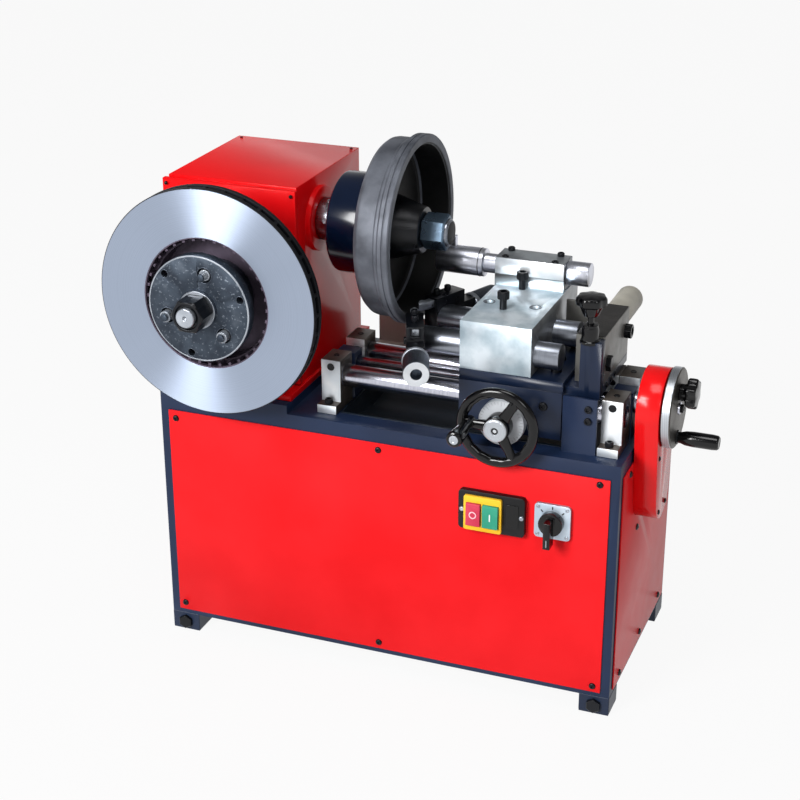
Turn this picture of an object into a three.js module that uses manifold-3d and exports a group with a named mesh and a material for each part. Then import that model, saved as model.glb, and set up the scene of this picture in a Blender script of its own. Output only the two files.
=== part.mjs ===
// A brake lathe. A headstock on a cabinet turns a brake disc at its front and a brake drum at its right.
// A saddle on two guide bars carries a cross slide with the tool block, two tool heads and a boring bar.
// Millimetres: X runs right along the bed, Y runs back and Z runs up. Places are given from the cabinet's
// front left corner on the floor, and the finished group is moved to the middle of its own footprint.

import * as THREE from "three";
import { mergeVertices } from "three/addons/utils/BufferGeometryUtils.js";
import Module from "manifold-3d";

const wasm = await Module();
wasm.setup();

// Sizes shared by the whole machine
const clearance = 0.3; // between pieces that touch, turn or slide in each other
const overrun = 8; // how far a cut runs past the faces that it opens
const overlap = 2; // how far one shape of a piece reaches into the next
const flats = { fine: 48, medium: 24, small: 12 }; // flat sides round a turned piece

// Cabinet
const cabinet = { width: 640, depth: 298, height: 362, bar: 30 };
const foot = { side: 40, height: 26, boreRadius: 5 };
const panel = { thickness: 2, sideMargin: 12, topMargin: 20, bottomMargin: 7.5, shaftHole: 13 };
const basePlate = { width: 188, thickness: 12 };
const tray = { depth: 37, sheet: 2.5 };
const splash = { left: 205, rightMargin: 80, rearMargin: 10, height: 44, footDepth: 20, sheet: 3 };
const railCover = { rightMargin: 39, width: 44, front: 20, thickness: 4, height: 75 };
const motorRail = { spread: 66, width: 30 };

// Bed: supports, guide bars and lead screw
const support = { width: 27, depth: 40, height: 70, footReach: 16, footHeight: 12 };
const bed = { left: 223, rightMargin: 10, deckMargin: 5 };
const guideBar = { front: 56, rear: 140, rise: 44, radius: 15 };
const leadScrew = { rise: 47, radius: 8, collarRadius: 14, collarLength: 5, noseLength: 2 };
const screwBlock = { depth: 26, height: 63 };

// Headstock
const headstock = { width: 184, front: 57, depth: 210, height: 272, wall: 5 };
const headFlange = { overhang: 4, front: 13.5, rearMargin: 8, thickness: 8 };
const frontCover = { leftOverhang: 5, rightOverhang: 2, bottomGap: 2, topMargin: 3, thickness: 8.4 };
const frontCap = { radius: 55, length: 18 };
const drumBoss = { radius: 44, length: 7 };
const innerBoss = { radius: 30, length: 20 };
const rearBoss = { radius: 32, length: 24 };

// Disc side: places along its axis are distances in front of the cabinet's front face
const discAxis = { x: 108, rise: 165 };
const discSpindle = { journal: 15, shaft: 25, arbor: 12.5 };
const discFlange = { radius: 60, length: 19.7, front: 9.7 };
const nose = { length: 4, holeRadius: 3, holeDepth: 5, chamfer: 1.5 };
const brakeDisc = { radius: 150.4, ringInner: 85.6, thickness: 22 };
const discVent = { width: 8, rimDepth: 10, innerDepth: 6 };
const discHat = { outer: 84, inner: 80, flange: 8, bore: 33, depth: 28 };
const adapter = { radius: 70, plate: 16, boss: 48, length: 61.7 };
const adapterStud = { circle: 46.5, angle: 77.5, pocketRadius: 10, pocketDepth: 10, radius: 5, length: 12 };
const adapterHole = { circle: 61.5, angle: 18, radius: 5 };
const discWasher = { radius: 25, thickness: 5 };
const discNut = { flats: 40, length: 28.4, recessRadius: 17, recessDepth: 4 };

// Drum side: places along its axis are distances right of the cabinet's left face
const drumAxis = { y: 125, rise: 233 };
const drumSpindle = { journal: 15, shaft: 20, arbor: 18, collar: 28.5, collarLength: 28.7, noseLength: 4 };
const drumHub = { radius: 67, length: 55.7, chamfer: 4 };
const brakeDrum = { radius: 117, inner: 110.5, length: 54.2, back: 7, corner: 6, mouthChamfer: 3 };
const drumLip = { radius: 123.7, width: 15, slope: 2 };
const drumCone = { large: 45, small: 30, length: 51.4 };
const drumNut = { flats: 42, length: 31.7 };
const gear = { gap: 0.8, length: 30 };

// Main drive
const spindlePulley = { radius: 60, width: 24, gap: 4 };
const motorPulley = { radius: 35 };
const driveBelt = { width: 10, thickness: 7, sink: 6 };
const motor = { radius: 65, pulleyGap: 20, length: 145, height: 180, shaft: 9, seat: 20 };
const motorFoot = { width: 110, margin: 12 };
const motorBox = { width: 28, length: 50, height: 40 };

// Feed drive and its guard
const guard = { width: 30, wall: 2.5, topRadius: 50, bottomRadius: 35, holeRadius: 12 };
const crankDisc = { radius: 52, thickness: 12.5, gap: 2 };
const crankGrip = { offset: 40, pin: 4.7, pinDepth: 8, neck: 8, radius: 10, length: 54 };
const clutchKnob = { offset: 22, neck: 11, neckLength: 9, radius: 20.5, thickness: 14 };
const knobLobes = { count: 6, depth: 4 };
const feed = { drop: 120, pulley: 30, motorPulley: 16, pulleyWidth: 16, inset: 5.4 };
const feedBelt = { width: 8, thickness: 4, sink: 3 };
const feedMotor = { radius: 28, length: 80, flange: 60, flangeThickness: 6, shaft: 5, seat: 20, boss: 11 };
const feedBracket = { width: 76, thickness: 6, below: 35, boreRadius: 12 };

// Saddle and cross slide
const saddle = { width: 136, front: 26, depth: 146, rise: 11, height: 64 };
const crossSlide = { width: 137, depth: 174, thickness: 14.2 };
const crossScrew = { radius: 6, rise: 67, rearMargin: 4 };
const crossNut = { width: 20, length: 20, travel: 13, below: 10 };
const gearPocket = { wall: 3, depth: 9, width: 46, gearLength: 7, floor: 4 };
const shaftGear = { radius: 21 };
const screwGear = { radius: 7.6 };
const bracket = { reach: 45, front: 33, thickness: 8, under: 4 };
const post = { proud: 1, width: 27, depth: 17, height: 62 };
const postBoss = { radius: 9.5, height: 21 };
const lockKnob = { stem: 4, seat: 10, stemLength: 10, neck: 9, radius: 19.5, height: 28 };
const lockKnobShares = { neck: 0.25, waist: 0.5, shoulder: 0.75, crown: 0.5 };
const holder = { width: 37, front: 53, height: 62.7 };
const holderWing = { reach: 46, thickness: 4, bottomGap: 3.5 };
const rearRod = { radius: 17.5, length: 83, topMargin: 0.5, spigot: 8, spigotLength: 20 };

// Handwheel: places along its axis are distances in front of the cabinet's front face
const wheel = { rise: 38, radius: 53, rim: 6, plane: 22, hub: 17, hubRear: 8.3, hubFront: 30 };
const wheelSpoke = { radius: 4.5, count: 3, angle: 178 };
const wheelShaft = { radius: 8, nose: 5, dial: 30, dialRear: -4, cap: 15, capLength: 3 };
const wheelBoss = { radius: 20 };
const wheelGrip = { circle: 37.5, pin: 3, pinDepth: 8, small: 8, large: 10.5, length: 51.5 };
const gripBoss = { radius: 7, length: 12 };

// Tool block, bars and heads
const toolBlock = { width: 94, front: 27.5, depth: 207.5, height: 64.2 };
const blockHole = { radius: 6.5, depth: 12, leftInset: 13, rightInset: 19, place: 77 };
const toolBar = { radius: 17, reach: 75, rightInset: 10, front: 54, rear: 137, rise: 22.2 };
const toolHead = { drumGap: 12.5, inset: 11, drop: 4, lean: 21.7, length: 55, width: 23 };
const headHeight = { above: 33, below: 15 };
const headCollar = { length: 22, half: 15 };
const headKnob = { radius: 17.5, length: 52, bore: 8.7, boreDepth: 10, stem: 6, stemLength: 17 };
const toolBit = { side: 10, rise: 25, reach: 24, taper: 12, length: 74 };

// Boring bar and its clamp
const barClamp = { leftOverhang: 2, width: 94, front: 171, depth: 40, base: 14.7, split: 0.6, cap: 22.2 };
const boringBar = { rise: 21, head: 19, headLength: 65.5, neck: 13, mouthGap: 1 };
const boringStop = { radius: 16, length: 30.7 };
const boringBit = { side: 8, inset: 16, height: 33 };

// Switches: the plates are placed from the cabinet's right and top, and the rest on the piece that holds it
const switchPlate = { rightMargin: 119, topMargin: 61, width: 89, height: 55, thickness: 8, corner: 5 };
const bezel = { leftInset: 9, bottomInset: 2, width: 50.5, height: 48, thickness: 5, windowGap: 0.6 };
const stopButton = { leftInset: 4, bottomInset: 7.5, width: 18.8, height: 31 };
const startButton = { leftInset: 26, bottomInset: 7.5, width: 20.8, height: 31 };
const button = { proud: 4, travel: 3, stem: 3, stemLength: 5 };
const camPlate = { rightMargin: 59.5, topMargin: 63.5, width: 47.5, height: 48, thickness: 5, corner: 5 };
const camKnob = { radius: 15.8, thickness: 10 };
const camPointer = { width: 9, down: 27, up: 9, height: 15 };
const camStem = { radius: 4, length: 4 };

// Places that several pieces share
const barZ = cabinet.height + guideBar.rise;
const screwY = (guideBar.front + guideBar.rear) / 2;
const screwZ = cabinet.height + leadScrew.rise;
const discZ = cabinet.height + discAxis.rise;
const drumZ = cabinet.height + drumAxis.rise;
const gearRadius = (drumAxis.rise - discAxis.rise - gear.gap) / 2;
const headBottom = cabinet.height + basePlate.thickness + clearance;
const shellBottom = headBottom + headFlange.thickness;
const shellTop = shellBottom + headstock.height;
const shellRear = headstock.front + headstock.depth;
const bedRight = cabinet.width - bed.rightMargin - support.width;
const trayLeft = bed.left + support.width;
const trayRight = bedRight - bed.deckMargin;
const panelFace = panel.thickness + clearance;
const rightPanelFace = cabinet.width + panelFace;
const pulleyRear = shellRear - headstock.wall - rearBoss.length - spindlePulley.gap;
const pulleyFront = pulleyRear - spindlePulley.width;
const motorRear = pulleyFront - motor.pulleyGap;
const motorFront = motorRear - motor.length;
const hatRear = discFlange.front + clearance;
const adapterRear = hatRear + discHat.flange + clearance;
const adapterFront = adapterRear + adapter.length;
const discNutRear = adapterFront + clearance + discWasher.thickness;
const discNutFront = discNutRear + discNut.length;
const drumCollarLeft = headstock.width + drumBoss.length + clearance;
const hubLeft = drumCollarLeft + drumSpindle.collarLength + clearance;
const drumLeft = hubLeft + drumHub.length + clearance;
const drumMouth = drumLeft + brakeDrum.length;
const coneLeft = drumLeft + brakeDrum.back + clearance;
const drumNutLeft = coneLeft + drumCone.length + clearance;
const guardLeft = rightPanelFace + clearance;
const guardRight = guardLeft + guard.width;
const crankLeft = guardRight + crankDisc.gap;
const crankRight = crankLeft + crankDisc.thickness;
const feedZ = screwZ - feed.drop;
const feedPulleyLeft = guardLeft + feed.inset;
const feedPulleyRight = feedPulleyLeft + feed.pulleyWidth;
const bracketX = bedRight - bed.deckMargin + clearance;
const motorFaceX = bracketX - clearance;
const saddleBottom = cabinet.height + saddle.rise;
const saddleTop = saddleBottom + saddle.height;
const headX = drumMouth + toolHead.drumGap;
const saddleLeft = headX + toolBar.reach;
const saddleRight = saddleLeft + saddle.width;
const toolBarRight = saddleRight - toolBar.rightInset;
const bracketRight = saddleRight + bracket.reach;
const postRight = bracketRight + post.proud;
const saddleRear = saddle.front + saddle.depth;
const saddleMiddle = saddleLeft + saddle.width / 2;
const slideBottom = saddleTop + clearance;
const slideTop = slideBottom + crossSlide.thickness;
const crossScrewZ = cabinet.height + crossScrew.rise;
const wheelZ = cabinet.height + wheel.rise;
const holderTop = saddleTop + bracket.thickness + clearance + holder.height;
const holderLeft = bracketRight - holder.width;
const rodCentre = [holderLeft + holder.width / 2, 0, holderTop - rearRod.radius - rearRod.topMargin];
const blockBottom = slideTop + clearance;
const blockTop = blockBottom + toolBlock.height;
const toolBarZ = blockBottom + toolBar.rise;
const clampLeft = saddleLeft - barClamp.leftOverhang;
const clampSplit = blockTop + barClamp.base;
const boringY = barClamp.front + barClamp.depth / 2;
const boringZ = blockTop + boringBar.rise;

// Finishes
const finishes = {
  navyPaint: { color: 0x26374f, roughness: 0.45, metalness: 0.1 },
  redPaint: { color: 0xe8242c, roughness: 0.35, metalness: 0.1 },
  turnedSteel: { color: 0xcfd6da, roughness: 0.3, metalness: 0.9 },
  darkSteel: { color: 0x4a5058, roughness: 0.45, metalness: 0.8 },
  aluminium: { color: 0xd3dade, roughness: 0.4, metalness: 0.85 },
  greyAluminium: { color: 0x77746f, roughness: 0.5, metalness: 0.7 },
  chrome: { color: 0xdfe4ea, roughness: 0.12, metalness: 1 },
  castIron: { color: 0x5f5a5f, roughness: 0.6, metalness: 0.6 },
  blackPlastic: { color: 0x101014, roughness: 0.3, metalness: 0 },
  yellowPlastic: { color: 0xf2ca38, roughness: 0.45, metalness: 0 },
  redPlastic: { color: 0xd34b66, roughness: 0.45, metalness: 0 },
  greenPlastic: { color: 0x4fae94, roughness: 0.45, metalness: 0 },
  palePlate: { color: 0xc2d0dc, roughness: 0.4, metalness: 0.4 },
  rubber: { color: 0x1a1a1c, roughness: 0.85, metalness: 0 },
  paleSheet: { color: 0xa39b94, roughness: 0.5, metalness: 0.5 },
  beigePlastic: { color: 0xc6c4b6, roughness: 0.5, metalness: 0.2 },
};

// Solids from shapes, and joins and cuts of them
function toSolid(geometry) {
  const bare = geometry.clone();
  bare.deleteAttribute("normal");
  bare.deleteAttribute("uv");
  const merged = mergeVertices(bare);
  const corners = merged.index.array;
  const kept = [];
  for (let i = 0; i < corners.length; i += 3) {
    const [a, b, c] = corners.slice(i, i + 3);
    if (a !== b && b !== c && c !== a) kept.push(a, b, c);
  }
  const vertProperties = Float32Array.from(merged.attributes.position.array);
  return new wasm.Manifold(new wasm.Mesh({ numProp: 3, vertProperties, triVerts: Uint32Array.from(kept) }));
}

function toGeometry(solid) {
  const mesh = solid.getMesh();
  const shared = new THREE.BufferGeometry();
  shared.setAttribute("position", new THREE.BufferAttribute(mesh.vertProperties, mesh.numProp));
  shared.setIndex(new THREE.BufferAttribute(mesh.triVerts, 1));
  const faceted = shared.toNonIndexed();
  faceted.computeVertexNormals();
  return faceted;
}

function join(...geometries) {
  const [first, ...others] = geometries.map(toSolid);
  return toGeometry(others.reduce((whole, piece) => whole.add(piece), first));
}

function cut(body, ...tools) {
  return toGeometry(tools.map(toSolid).reduce((rest, tool) => rest.subtract(tool), toSolid(body)));
}

// A box between two opposite corners
function box([x0, y0, z0], [x1, y1, z1]) {
  const geometry = new THREE.BoxGeometry(x1 - x0, y1 - y0, z1 - z0);
  return geometry.translate((x0 + x1) / 2, (y0 + y1) / 2, (z0 + z1) / 2);
}

// A solid of revolution about Z: its profile is a list of [radius, height] that climbs along the outside
function turned(profile, count) {
  const points = profile.map(([radius, height]) => new THREE.Vector2(radius, height));
  return new THREE.LatheGeometry(points, count).rotateX(Math.PI / 2);
}

// A round bar about Z made of steps: each has a radius, and runs on from the one before it to its own end
function stepped(start, steps, count) {
  const profile = [[0, start]];
  let from = start;
  for (const [radius, to] of steps) {
    profile.push([radius, from], [radius, to]);
    from = to;
  }
  profile.push([0, from]);
  return turned(profile, count);
}

function ring(inner, outer, from, to, count) {
  return turned([[inner, from], [outer, from], [outer, to], [inner, to], [inner, from]], count);
}

// A flat outline of [across, up] points, raised along Z
function raised(outline, height) {
  const shape = new THREE.Shape(outline.map(([across, up]) => new THREE.Vector2(across, up)));
  return new THREE.ExtrudeGeometry(shape, { depth: height, bevelEnabled: false });
}

// Points on an arc, from one angle to another, counter-clockwise
function arc([across, up], radius, fromAngle, toAngle, count) {
  const step = (toAngle - fromAngle) / count;
  const angles = Array.from({ length: count + 1 }, (unused, i) => fromAngle + i * step);
  return angles.map((angle) => [across + radius * Math.cos(angle), up + radius * Math.sin(angle)]);
}

// The outline of a band round two circles, one above the other on the same upright line
function loopOutline(upper, upperRadius, lower, lowerRadius) {
  const lean = Math.asin((upperRadius - lowerRadius) / (upper - lower));
  const half = flats.fine / 2;
  return [
    ...arc([0, upper], upperRadius, -lean, Math.PI + lean, half),
    ...arc([0, lower], lowerRadius, Math.PI + lean, 2 * Math.PI - lean, half),
  ];
}

function roundedRectangle(left, bottom, width, height, corner) {
  const centres = [
    [left + width - corner, bottom + corner],
    [left + width - corner, bottom + height - corner],
    [left + corner, bottom + height - corner],
    [left + corner, bottom + corner],
  ];
  const quarter = Math.PI / 2;
  return centres.flatMap((centre, i) => arc(centre, corner, (i - 1) * quarter, i * quarter, 4));
}

function hexagon(acrossFlats) {
  return arc([0, 0], acrossFlats / Math.sqrt(3), 0, (5 / 3) * Math.PI, 5);
}

// A shape built along Z, laid along X or Y from a point
function alongX([x, y, z], geometry) {
  return geometry.clone().rotateY(Math.PI / 2).translate(x, y, z);
}

function alongY([x, y, z], geometry) {
  return geometry.clone().rotateX(-Math.PI / 2).translate(x, y, z);
}

// A shape drawn as [x, z] and raised along Z, stood up so that it rises from its plane towards the front
function facing(y, geometry) {
  return geometry.clone().rotateX(Math.PI / 2).translate(0, y, 0);
}

function roundHole(radius, from, to, count = flats.small) {
  return stepped(from, [[radius, to]], count);
}

// The scene graph: each sub-part is a named mesh in the group that places it
const lathe = new THREE.Group();

function add(name, finish, geometry, parent = lathe) {
  const mesh = new THREE.Mesh(geometry, new THREE.MeshStandardMaterial(finishes[finish]));
  mesh.name = name;
  parent.add(mesh);
}

function placedGroup(position, rotation) {
  const group = new THREE.Group();
  group.position.set(...position);
  group.rotation.set(...rotation);
  lathe.add(group);
  return group;
}

const quarterTurn = Math.PI / 2;
const discSide = placedGroup([discAxis.x, 0, discZ], [quarterTurn, 0, 0]);
const drumSide = placedGroup([0, drumAxis.y, drumZ], [0, quarterTurn, 0]);
const crankSide = placedGroup([0, screwY, screwZ], [0, quarterTurn, 0]);
const wheelSide = placedGroup([saddleMiddle, 0, wheelZ], [quarterTurn, 0, 0]);

// Cabinet frame with its feet, deck, headstock plate, bearing blocks, rail cover and motor bracket
function frameBars() {
  const { width, depth, height, bar } = cabinet;
  const bars = [];
  for (const x of [0, width - bar]) {
    for (const y of [0, depth - bar]) bars.push(box([x, y, foot.height], [x + bar, y + bar, height]));
    for (const z of [foot.height, height - bar]) bars.push(box([x, 0, z], [x + bar, depth, z + bar]));
  }
  for (const z of [foot.height, height - bar]) {
    for (const y of [0, depth - bar]) bars.push(box([0, y, z], [width, y + bar, z + bar]));
  }
  return bars;
}

function frameFeet() {
  const blocks = [];
  for (const x of [0, cabinet.width - foot.side]) {
    for (const y of [0, cabinet.depth - foot.side]) {
      blocks.push(box([x, y, 0], [x + foot.side, y + foot.side, foot.height + cabinet.bar / 2]));
    }
  }
  return blocks;
}

function footBores() {
  const bores = [];
  for (const x of [foot.side / 2, cabinet.width - foot.side / 2]) {
    const through = roundHole(foot.boreRadius, -overrun, cabinet.depth + overrun);
    bores.push(alongY([x, 0, foot.height / 2], through));
  }
  return bores;
}

function frameDeck() {
  const { width, depth, height, bar } = cabinet;
  const motorRails = [-1, 1].map((side) => {
    const middle = discAxis.x + (side * motorRail.spread) / 2;
    const half = motorRail.width / 2;
    return box([middle - half, 0, foot.height], [middle + half, depth, foot.height + bar]);
  });
  return [
    box([basePlate.width - bar, 0, height - bar], [trayLeft, depth, height]),
    box([trayRight, 0, height - bar], [width, depth, height]),
    box([0, 0, height - bar / 2], [basePlate.width, depth, height + basePlate.thickness]),
    ...motorRails,
  ];
}

function beltSlot() {
  const reach = spindlePulley.radius + overrun;
  const from = [discAxis.x - reach, pulleyFront - spindlePulley.gap, cabinet.height - cabinet.bar - overrun];
  const to = [discAxis.x + reach, pulleyRear + spindlePulley.gap, headBottom + overrun];
  return box(from, to);
}

function screwBlocks() {
  const half = screwBlock.depth / 2;
  const bottom = cabinet.height - cabinet.bar / 2;
  const top = cabinet.height + screwBlock.height;
  return [bed.left, bedRight].map((x) => {
    return box([x, screwY - half, bottom], [x + support.width, screwY + half, top]);
  });
}

function railCoverPlate() {
  const right = cabinet.width - railCover.rightMargin;
  const rear = railCover.front + railCover.thickness;
  const from = [right - railCover.width, railCover.front, cabinet.height - cabinet.bar / 2];
  return box(from, [right, rear, cabinet.height + railCover.height]);
}

function feedMotorBracket() {
  const half = feedBracket.width / 2;
  const from = [bracketX, screwY - half, feedZ - feedBracket.below];
  return box(from, [bracketX + feedBracket.thickness, screwY + half, cabinet.height - cabinet.bar / 2]);
}

function cabinetFrame() {
  const right = cabinet.width + overrun;
  const screwBore = roundHole(leadScrew.radius + clearance, 0, right);
  const feedBore = roundHole(feedBracket.boreRadius, trayRight - overrun, right);
  const whole = join(
    ...frameBars(),
    ...frameFeet(),
    ...frameDeck(),
    ...screwBlocks(),
    railCoverPlate(),
    feedMotorBracket(),
  );
  const cuts = [beltSlot(), ...footBores(), alongX([0, screwY, screwZ], screwBore)];
  return cut(whole, ...cuts, alongX([0, screwY, feedZ], feedBore));
}

add("cabinet_frame", "navyPaint", cabinetFrame());

// Sheets that close the cabinet
const panelBottom = foot.height + panel.bottomMargin;
const panelTop = cabinet.height - panel.topMargin;

function frontPanel() {
  return box(
    [panel.sideMargin, -panelFace, panelBottom],
    [cabinet.width - panel.sideMargin, -clearance, panelTop],
  );
}

// The left and rear sides are one sheet, bent round the rear left corner
function leftRearPanel() {
  const rear = cabinet.depth + panelFace;
  const right = cabinet.width - panel.sideMargin;
  const left = box([-panelFace, panel.sideMargin, panelBottom], [-clearance, rear, panelTop]);
  const back = box([-panelFace, rear - panel.thickness, panelBottom], [right, rear, panelTop]);
  return join(left, back);
}

function rightPanel() {
  const sheet = box(
    [cabinet.width + clearance, panel.sideMargin, panelBottom],
    [rightPanelFace, cabinet.depth - panel.sideMargin, panelTop],
  );
  const shaftHole = roundHole(panel.shaftHole, cabinet.width - overrun, rightPanelFace + overrun);
  return cut(sheet, alongX([0, screwY, feedZ], shaftHole));
}

add("front_panel", "redPaint", frontPanel());
add("left_rear_panel", "redPaint", leftRearPanel());
add("right_panel", "redPaint", rightPanel());

// Chip tray: a round trough between the deck beams, closed at both ends
function troughOutline(inset, rise) {
  const half = cabinet.depth / 2 - cabinet.bar - clearance;
  const radius = (half * half) / (2 * tray.depth) + tray.depth / 2;
  const centre = [cabinet.depth / 2, cabinet.height - tray.depth + radius];
  const reach = Math.acos((centre[1] - cabinet.height - rise) / (radius - inset));
  return arc(centre, radius - inset, -quarterTurn - reach, -quarterTurn + reach, flats.small);
}

function troughSolid(outline, left, right) {
  return raised(outline, right - left).rotateY(quarterTurn).rotateX(quarterTurn).translate(left, 0, 0);
}

function chipTray() {
  const left = trayLeft + clearance;
  const right = trayRight - clearance;
  const outside = troughSolid(troughOutline(0, 0), left, right);
  const inside = troughSolid(troughOutline(tray.sheet, tray.sheet), left + tray.sheet, right - tray.sheet);
  return cut(outside, inside);
}

add("chip_tray", "navyPaint", chipTray());

// Splash plate: a bent sheet on the rear rail
function splashPlate() {
  const rear = cabinet.depth - splash.rearMargin;
  const bottom = cabinet.height + clearance;
  const top = cabinet.height + splash.height;
  const baseFront = rear - splash.footDepth;
  const right = cabinet.width - splash.rightMargin;
  const upright = box([splash.left, rear - splash.sheet, bottom], [right, rear, top]);
  const base = box([splash.left, baseFront, bottom], [right, rear, bottom + splash.sheet]);
  return join(upright, base);
}

add("splash_plate", "paleSheet", splashPlate());

// Headstock housing, open below and in front, with a bearing boss at each spindle's end
function housingShell() {
  const { width, front, wall } = headstock;
  const outside = box([0, front, shellBottom - clearance], [width, shellRear, shellTop]);
  const rim = box(
    [-headFlange.overhang, headFlange.front, headBottom],
    [basePlate.width, cabinet.depth - headFlange.rearMargin, shellBottom],
  );
  const corner = [width - wall, shellRear - wall, shellTop - wall];
  const hollow = box([wall, front - overrun, shellBottom + frontCover.bottomGap], corner);
  const mouth = box([wall, front + wall, headBottom - overrun], corner);
  return cut(join(outside, rim), hollow, mouth);
}

function headstockHousing() {
  const drumLine = [0, drumAxis.y, drumZ];
  const discLine = [discAxis.x, 0, discZ];
  const inside = headstock.width - headstock.wall;
  const bossRight = headstock.width + drumBoss.length;
  const outerBoss = roundHole(drumBoss.radius, inside, bossRight, flats.medium);
  const leftBoss = roundHole(innerBoss.radius, headstock.wall / 2, headstock.wall + innerBoss.length);
  const backInside = shellRear - headstock.wall;
  const backBoss = roundHole(rearBoss.radius, backInside - rearBoss.length, backInside + headstock.wall / 2);
  const shaftBoreRadius = drumSpindle.shaft + clearance;
  const shaftBore = roundHole(shaftBoreRadius, inside - overrun, bossRight + overrun, flats.medium);
  const leftBore = roundHole(drumSpindle.journal + clearance, headstock.wall, inside / 2, flats.medium);
  const rearBore = roundHole(discSpindle.journal + clearance, headstock.front, backInside, flats.medium);
  const bosses = [alongX(drumLine, outerBoss), alongX(drumLine, leftBoss), alongY(discLine, backBoss)];
  const bores = [alongX(drumLine, shaftBore), alongX(drumLine, leftBore), alongY(discLine, rearBore)];
  return cut(join(housingShell(), ...bosses), ...bores);
}

// Front cover with the disc spindle's bearing cap
function headstockCover() {
  const rear = headstock.front - clearance;
  const front = rear - frontCover.thickness;
  const left = -frontCover.leftOverhang;
  const right = headstock.width + frontCover.rightOverhang;
  const bottom = shellBottom + frontCover.bottomGap;
  const plate = box([left, front, bottom], [right, rear, shellTop - frontCover.topMargin]);
  const line = [discAxis.x, 0, discZ];
  const capFront = front - frontCap.length;
  const cap = roundHole(frontCap.radius, capFront, front + frontCover.thickness / 2, flats.medium);
  const bore = roundHole(discSpindle.shaft + clearance, capFront - overrun, rear + overrun, flats.medium);
  return cut(join(plate, alongY(line, cap)), alongY(line, bore));
}

add("headstock_housing", "redPaint", headstockHousing());
add("headstock_cover", "redPaint", headstockCover());

// Disc side, drawn about its own axis with the front towards positive distances
function discSpindlePiece() {
  const gearFrom = -drumAxis.y - gear.length / 2;
  const gearTo = -drumAxis.y + gear.length / 2;
  const flangeRear = discFlange.front - discFlange.length;
  const end = discNutFront + nose.length;
  const start = headstock.wall + clearance - shellRear;
  const body = stepped(start, [
    [discSpindle.journal, gearFrom],
    [gearRadius, gearTo],
    [discSpindle.shaft, flangeRear],
    [discFlange.radius, discFlange.front],
    [discSpindle.arbor, end],
  ], flats.medium);
  const point = end - nose.holeDepth;
  const centreHole = turned([[0, point], [nose.holeRadius, end], [0, end + overrun]], flats.small);
  const { radius } = spindlePulley;
  const pulley = groovedPulley(discSpindle.journal / 2, radius, driveBelt, -pulleyRear, -pulleyFront);
  return cut(join(body, pulley), centreHole);
}

function brakeDiscPiece() {
  const { radius, ringInner, thickness } = brakeDisc;
  const ringRear = hatRear + discHat.depth;
  const ringFront = ringRear + thickness;
  const ventRear = ringRear + (thickness - discVent.width) / 2;
  const ventFront = ventRear + discVent.width;
  return turned([
    [discHat.bore, hatRear],
    [discHat.outer, hatRear],
    [discHat.outer, ringRear],
    [radius, ringRear],
    [radius, ventRear],
    [radius - discVent.rimDepth, ventRear],
    [radius - discVent.rimDepth, ventFront],
    [radius, ventFront],
    [radius, ringFront],
    [ringInner, ringFront],
    [ringInner, ventFront],
    [ringInner + discVent.innerDepth, ventFront],
    [ringInner + discVent.innerDepth, ventRear],
    [discHat.inner, ventRear],
    [discHat.inner, hatRear + discHat.flange],
    [discHat.bore, hatRear + discHat.flange],
    [discHat.bore, hatRear],
  ], flats.fine);
}

// Holes or studs set evenly on a circle, from a first angle in degrees
function onCircle(circle, firstAngle, geometry) {
  return [0, 1, 2].map((i) => {
    const angle = THREE.MathUtils.degToRad(firstAngle) + (i * 2 * Math.PI) / 3;
    return geometry.clone().translate(circle * Math.cos(angle), circle * Math.sin(angle), 0);
  });
}

function discAdapterPiece() {
  const plateRear = adapterFront - adapter.plate;
  const pilot = discHat.bore - clearance;
  const body = stepped(hatRear, [
    [pilot, adapterRear],
    [adapter.boss, plateRear],
    [adapter.radius, adapterFront],
  ], flats.medium);
  const boreRadius = discSpindle.arbor + clearance;
  const bore = roundHole(boreRadius, hatRear - overrun, adapterFront + overrun, flats.medium);
  const pocketFloor = adapterFront - adapterStud.pocketDepth;
  const pocket = roundHole(adapterStud.pocketRadius, pocketFloor, adapterFront + overrun);
  const hole = roundHole(adapterHole.radius, plateRear - overrun, adapterFront + overrun);
  const stud = roundHole(adapterStud.radius, pocketFloor - overlap, adapterFront + adapterStud.length);
  const pockets = onCircle(adapterStud.circle, adapterStud.angle, pocket);
  const studs = onCircle(adapterStud.circle, adapterStud.angle, stud);
  const holes = onCircle(adapterHole.circle, adapterHole.angle, hole);
  return join(cut(body, bore, ...pockets, ...holes), ...studs);
}

// The nut and the washer behind it are one piece
function discNutPiece() {
  const body = raised(hexagon(discNut.flats), discNut.length).translate(0, 0, discNutRear);
  const washer = roundHole(discWasher.radius, adapterFront + clearance, discNutRear + overlap, flats.medium);
  const boreRadius = discSpindle.arbor + clearance;
  const bore = roundHole(boreRadius, adapterFront - overrun, discNutFront + overrun, flats.medium);
  const recess = roundHole(discNut.recessRadius, discNutFront - discNut.recessDepth, discNutFront + overrun);
  return cut(join(body, washer), bore, recess);
}

add("disc_spindle", "turnedSteel", discSpindlePiece(), discSide);
add("brake_disc", "turnedSteel", brakeDiscPiece(), discSide);
add("disc_adapter", "darkSteel", discAdapterPiece(), discSide);
add("disc_nut", "blackPlastic", discNutPiece(), discSide);

// A pulley with one square groove, drawn about Z
function groovedPulley(bore, radius, belt, from, to) {
  const middle = (from + to) / 2;
  const half = belt.width / 2 + clearance;
  const floor = radius - belt.sink - clearance;
  return turned([
    [bore, from],
    [radius, from],
    [radius, middle - half],
    [floor, middle - half],
    [floor, middle + half],
    [radius, middle + half],
    [radius, to],
    [bore, to],
    [bore, from],
  ], flats.medium);
}

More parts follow.
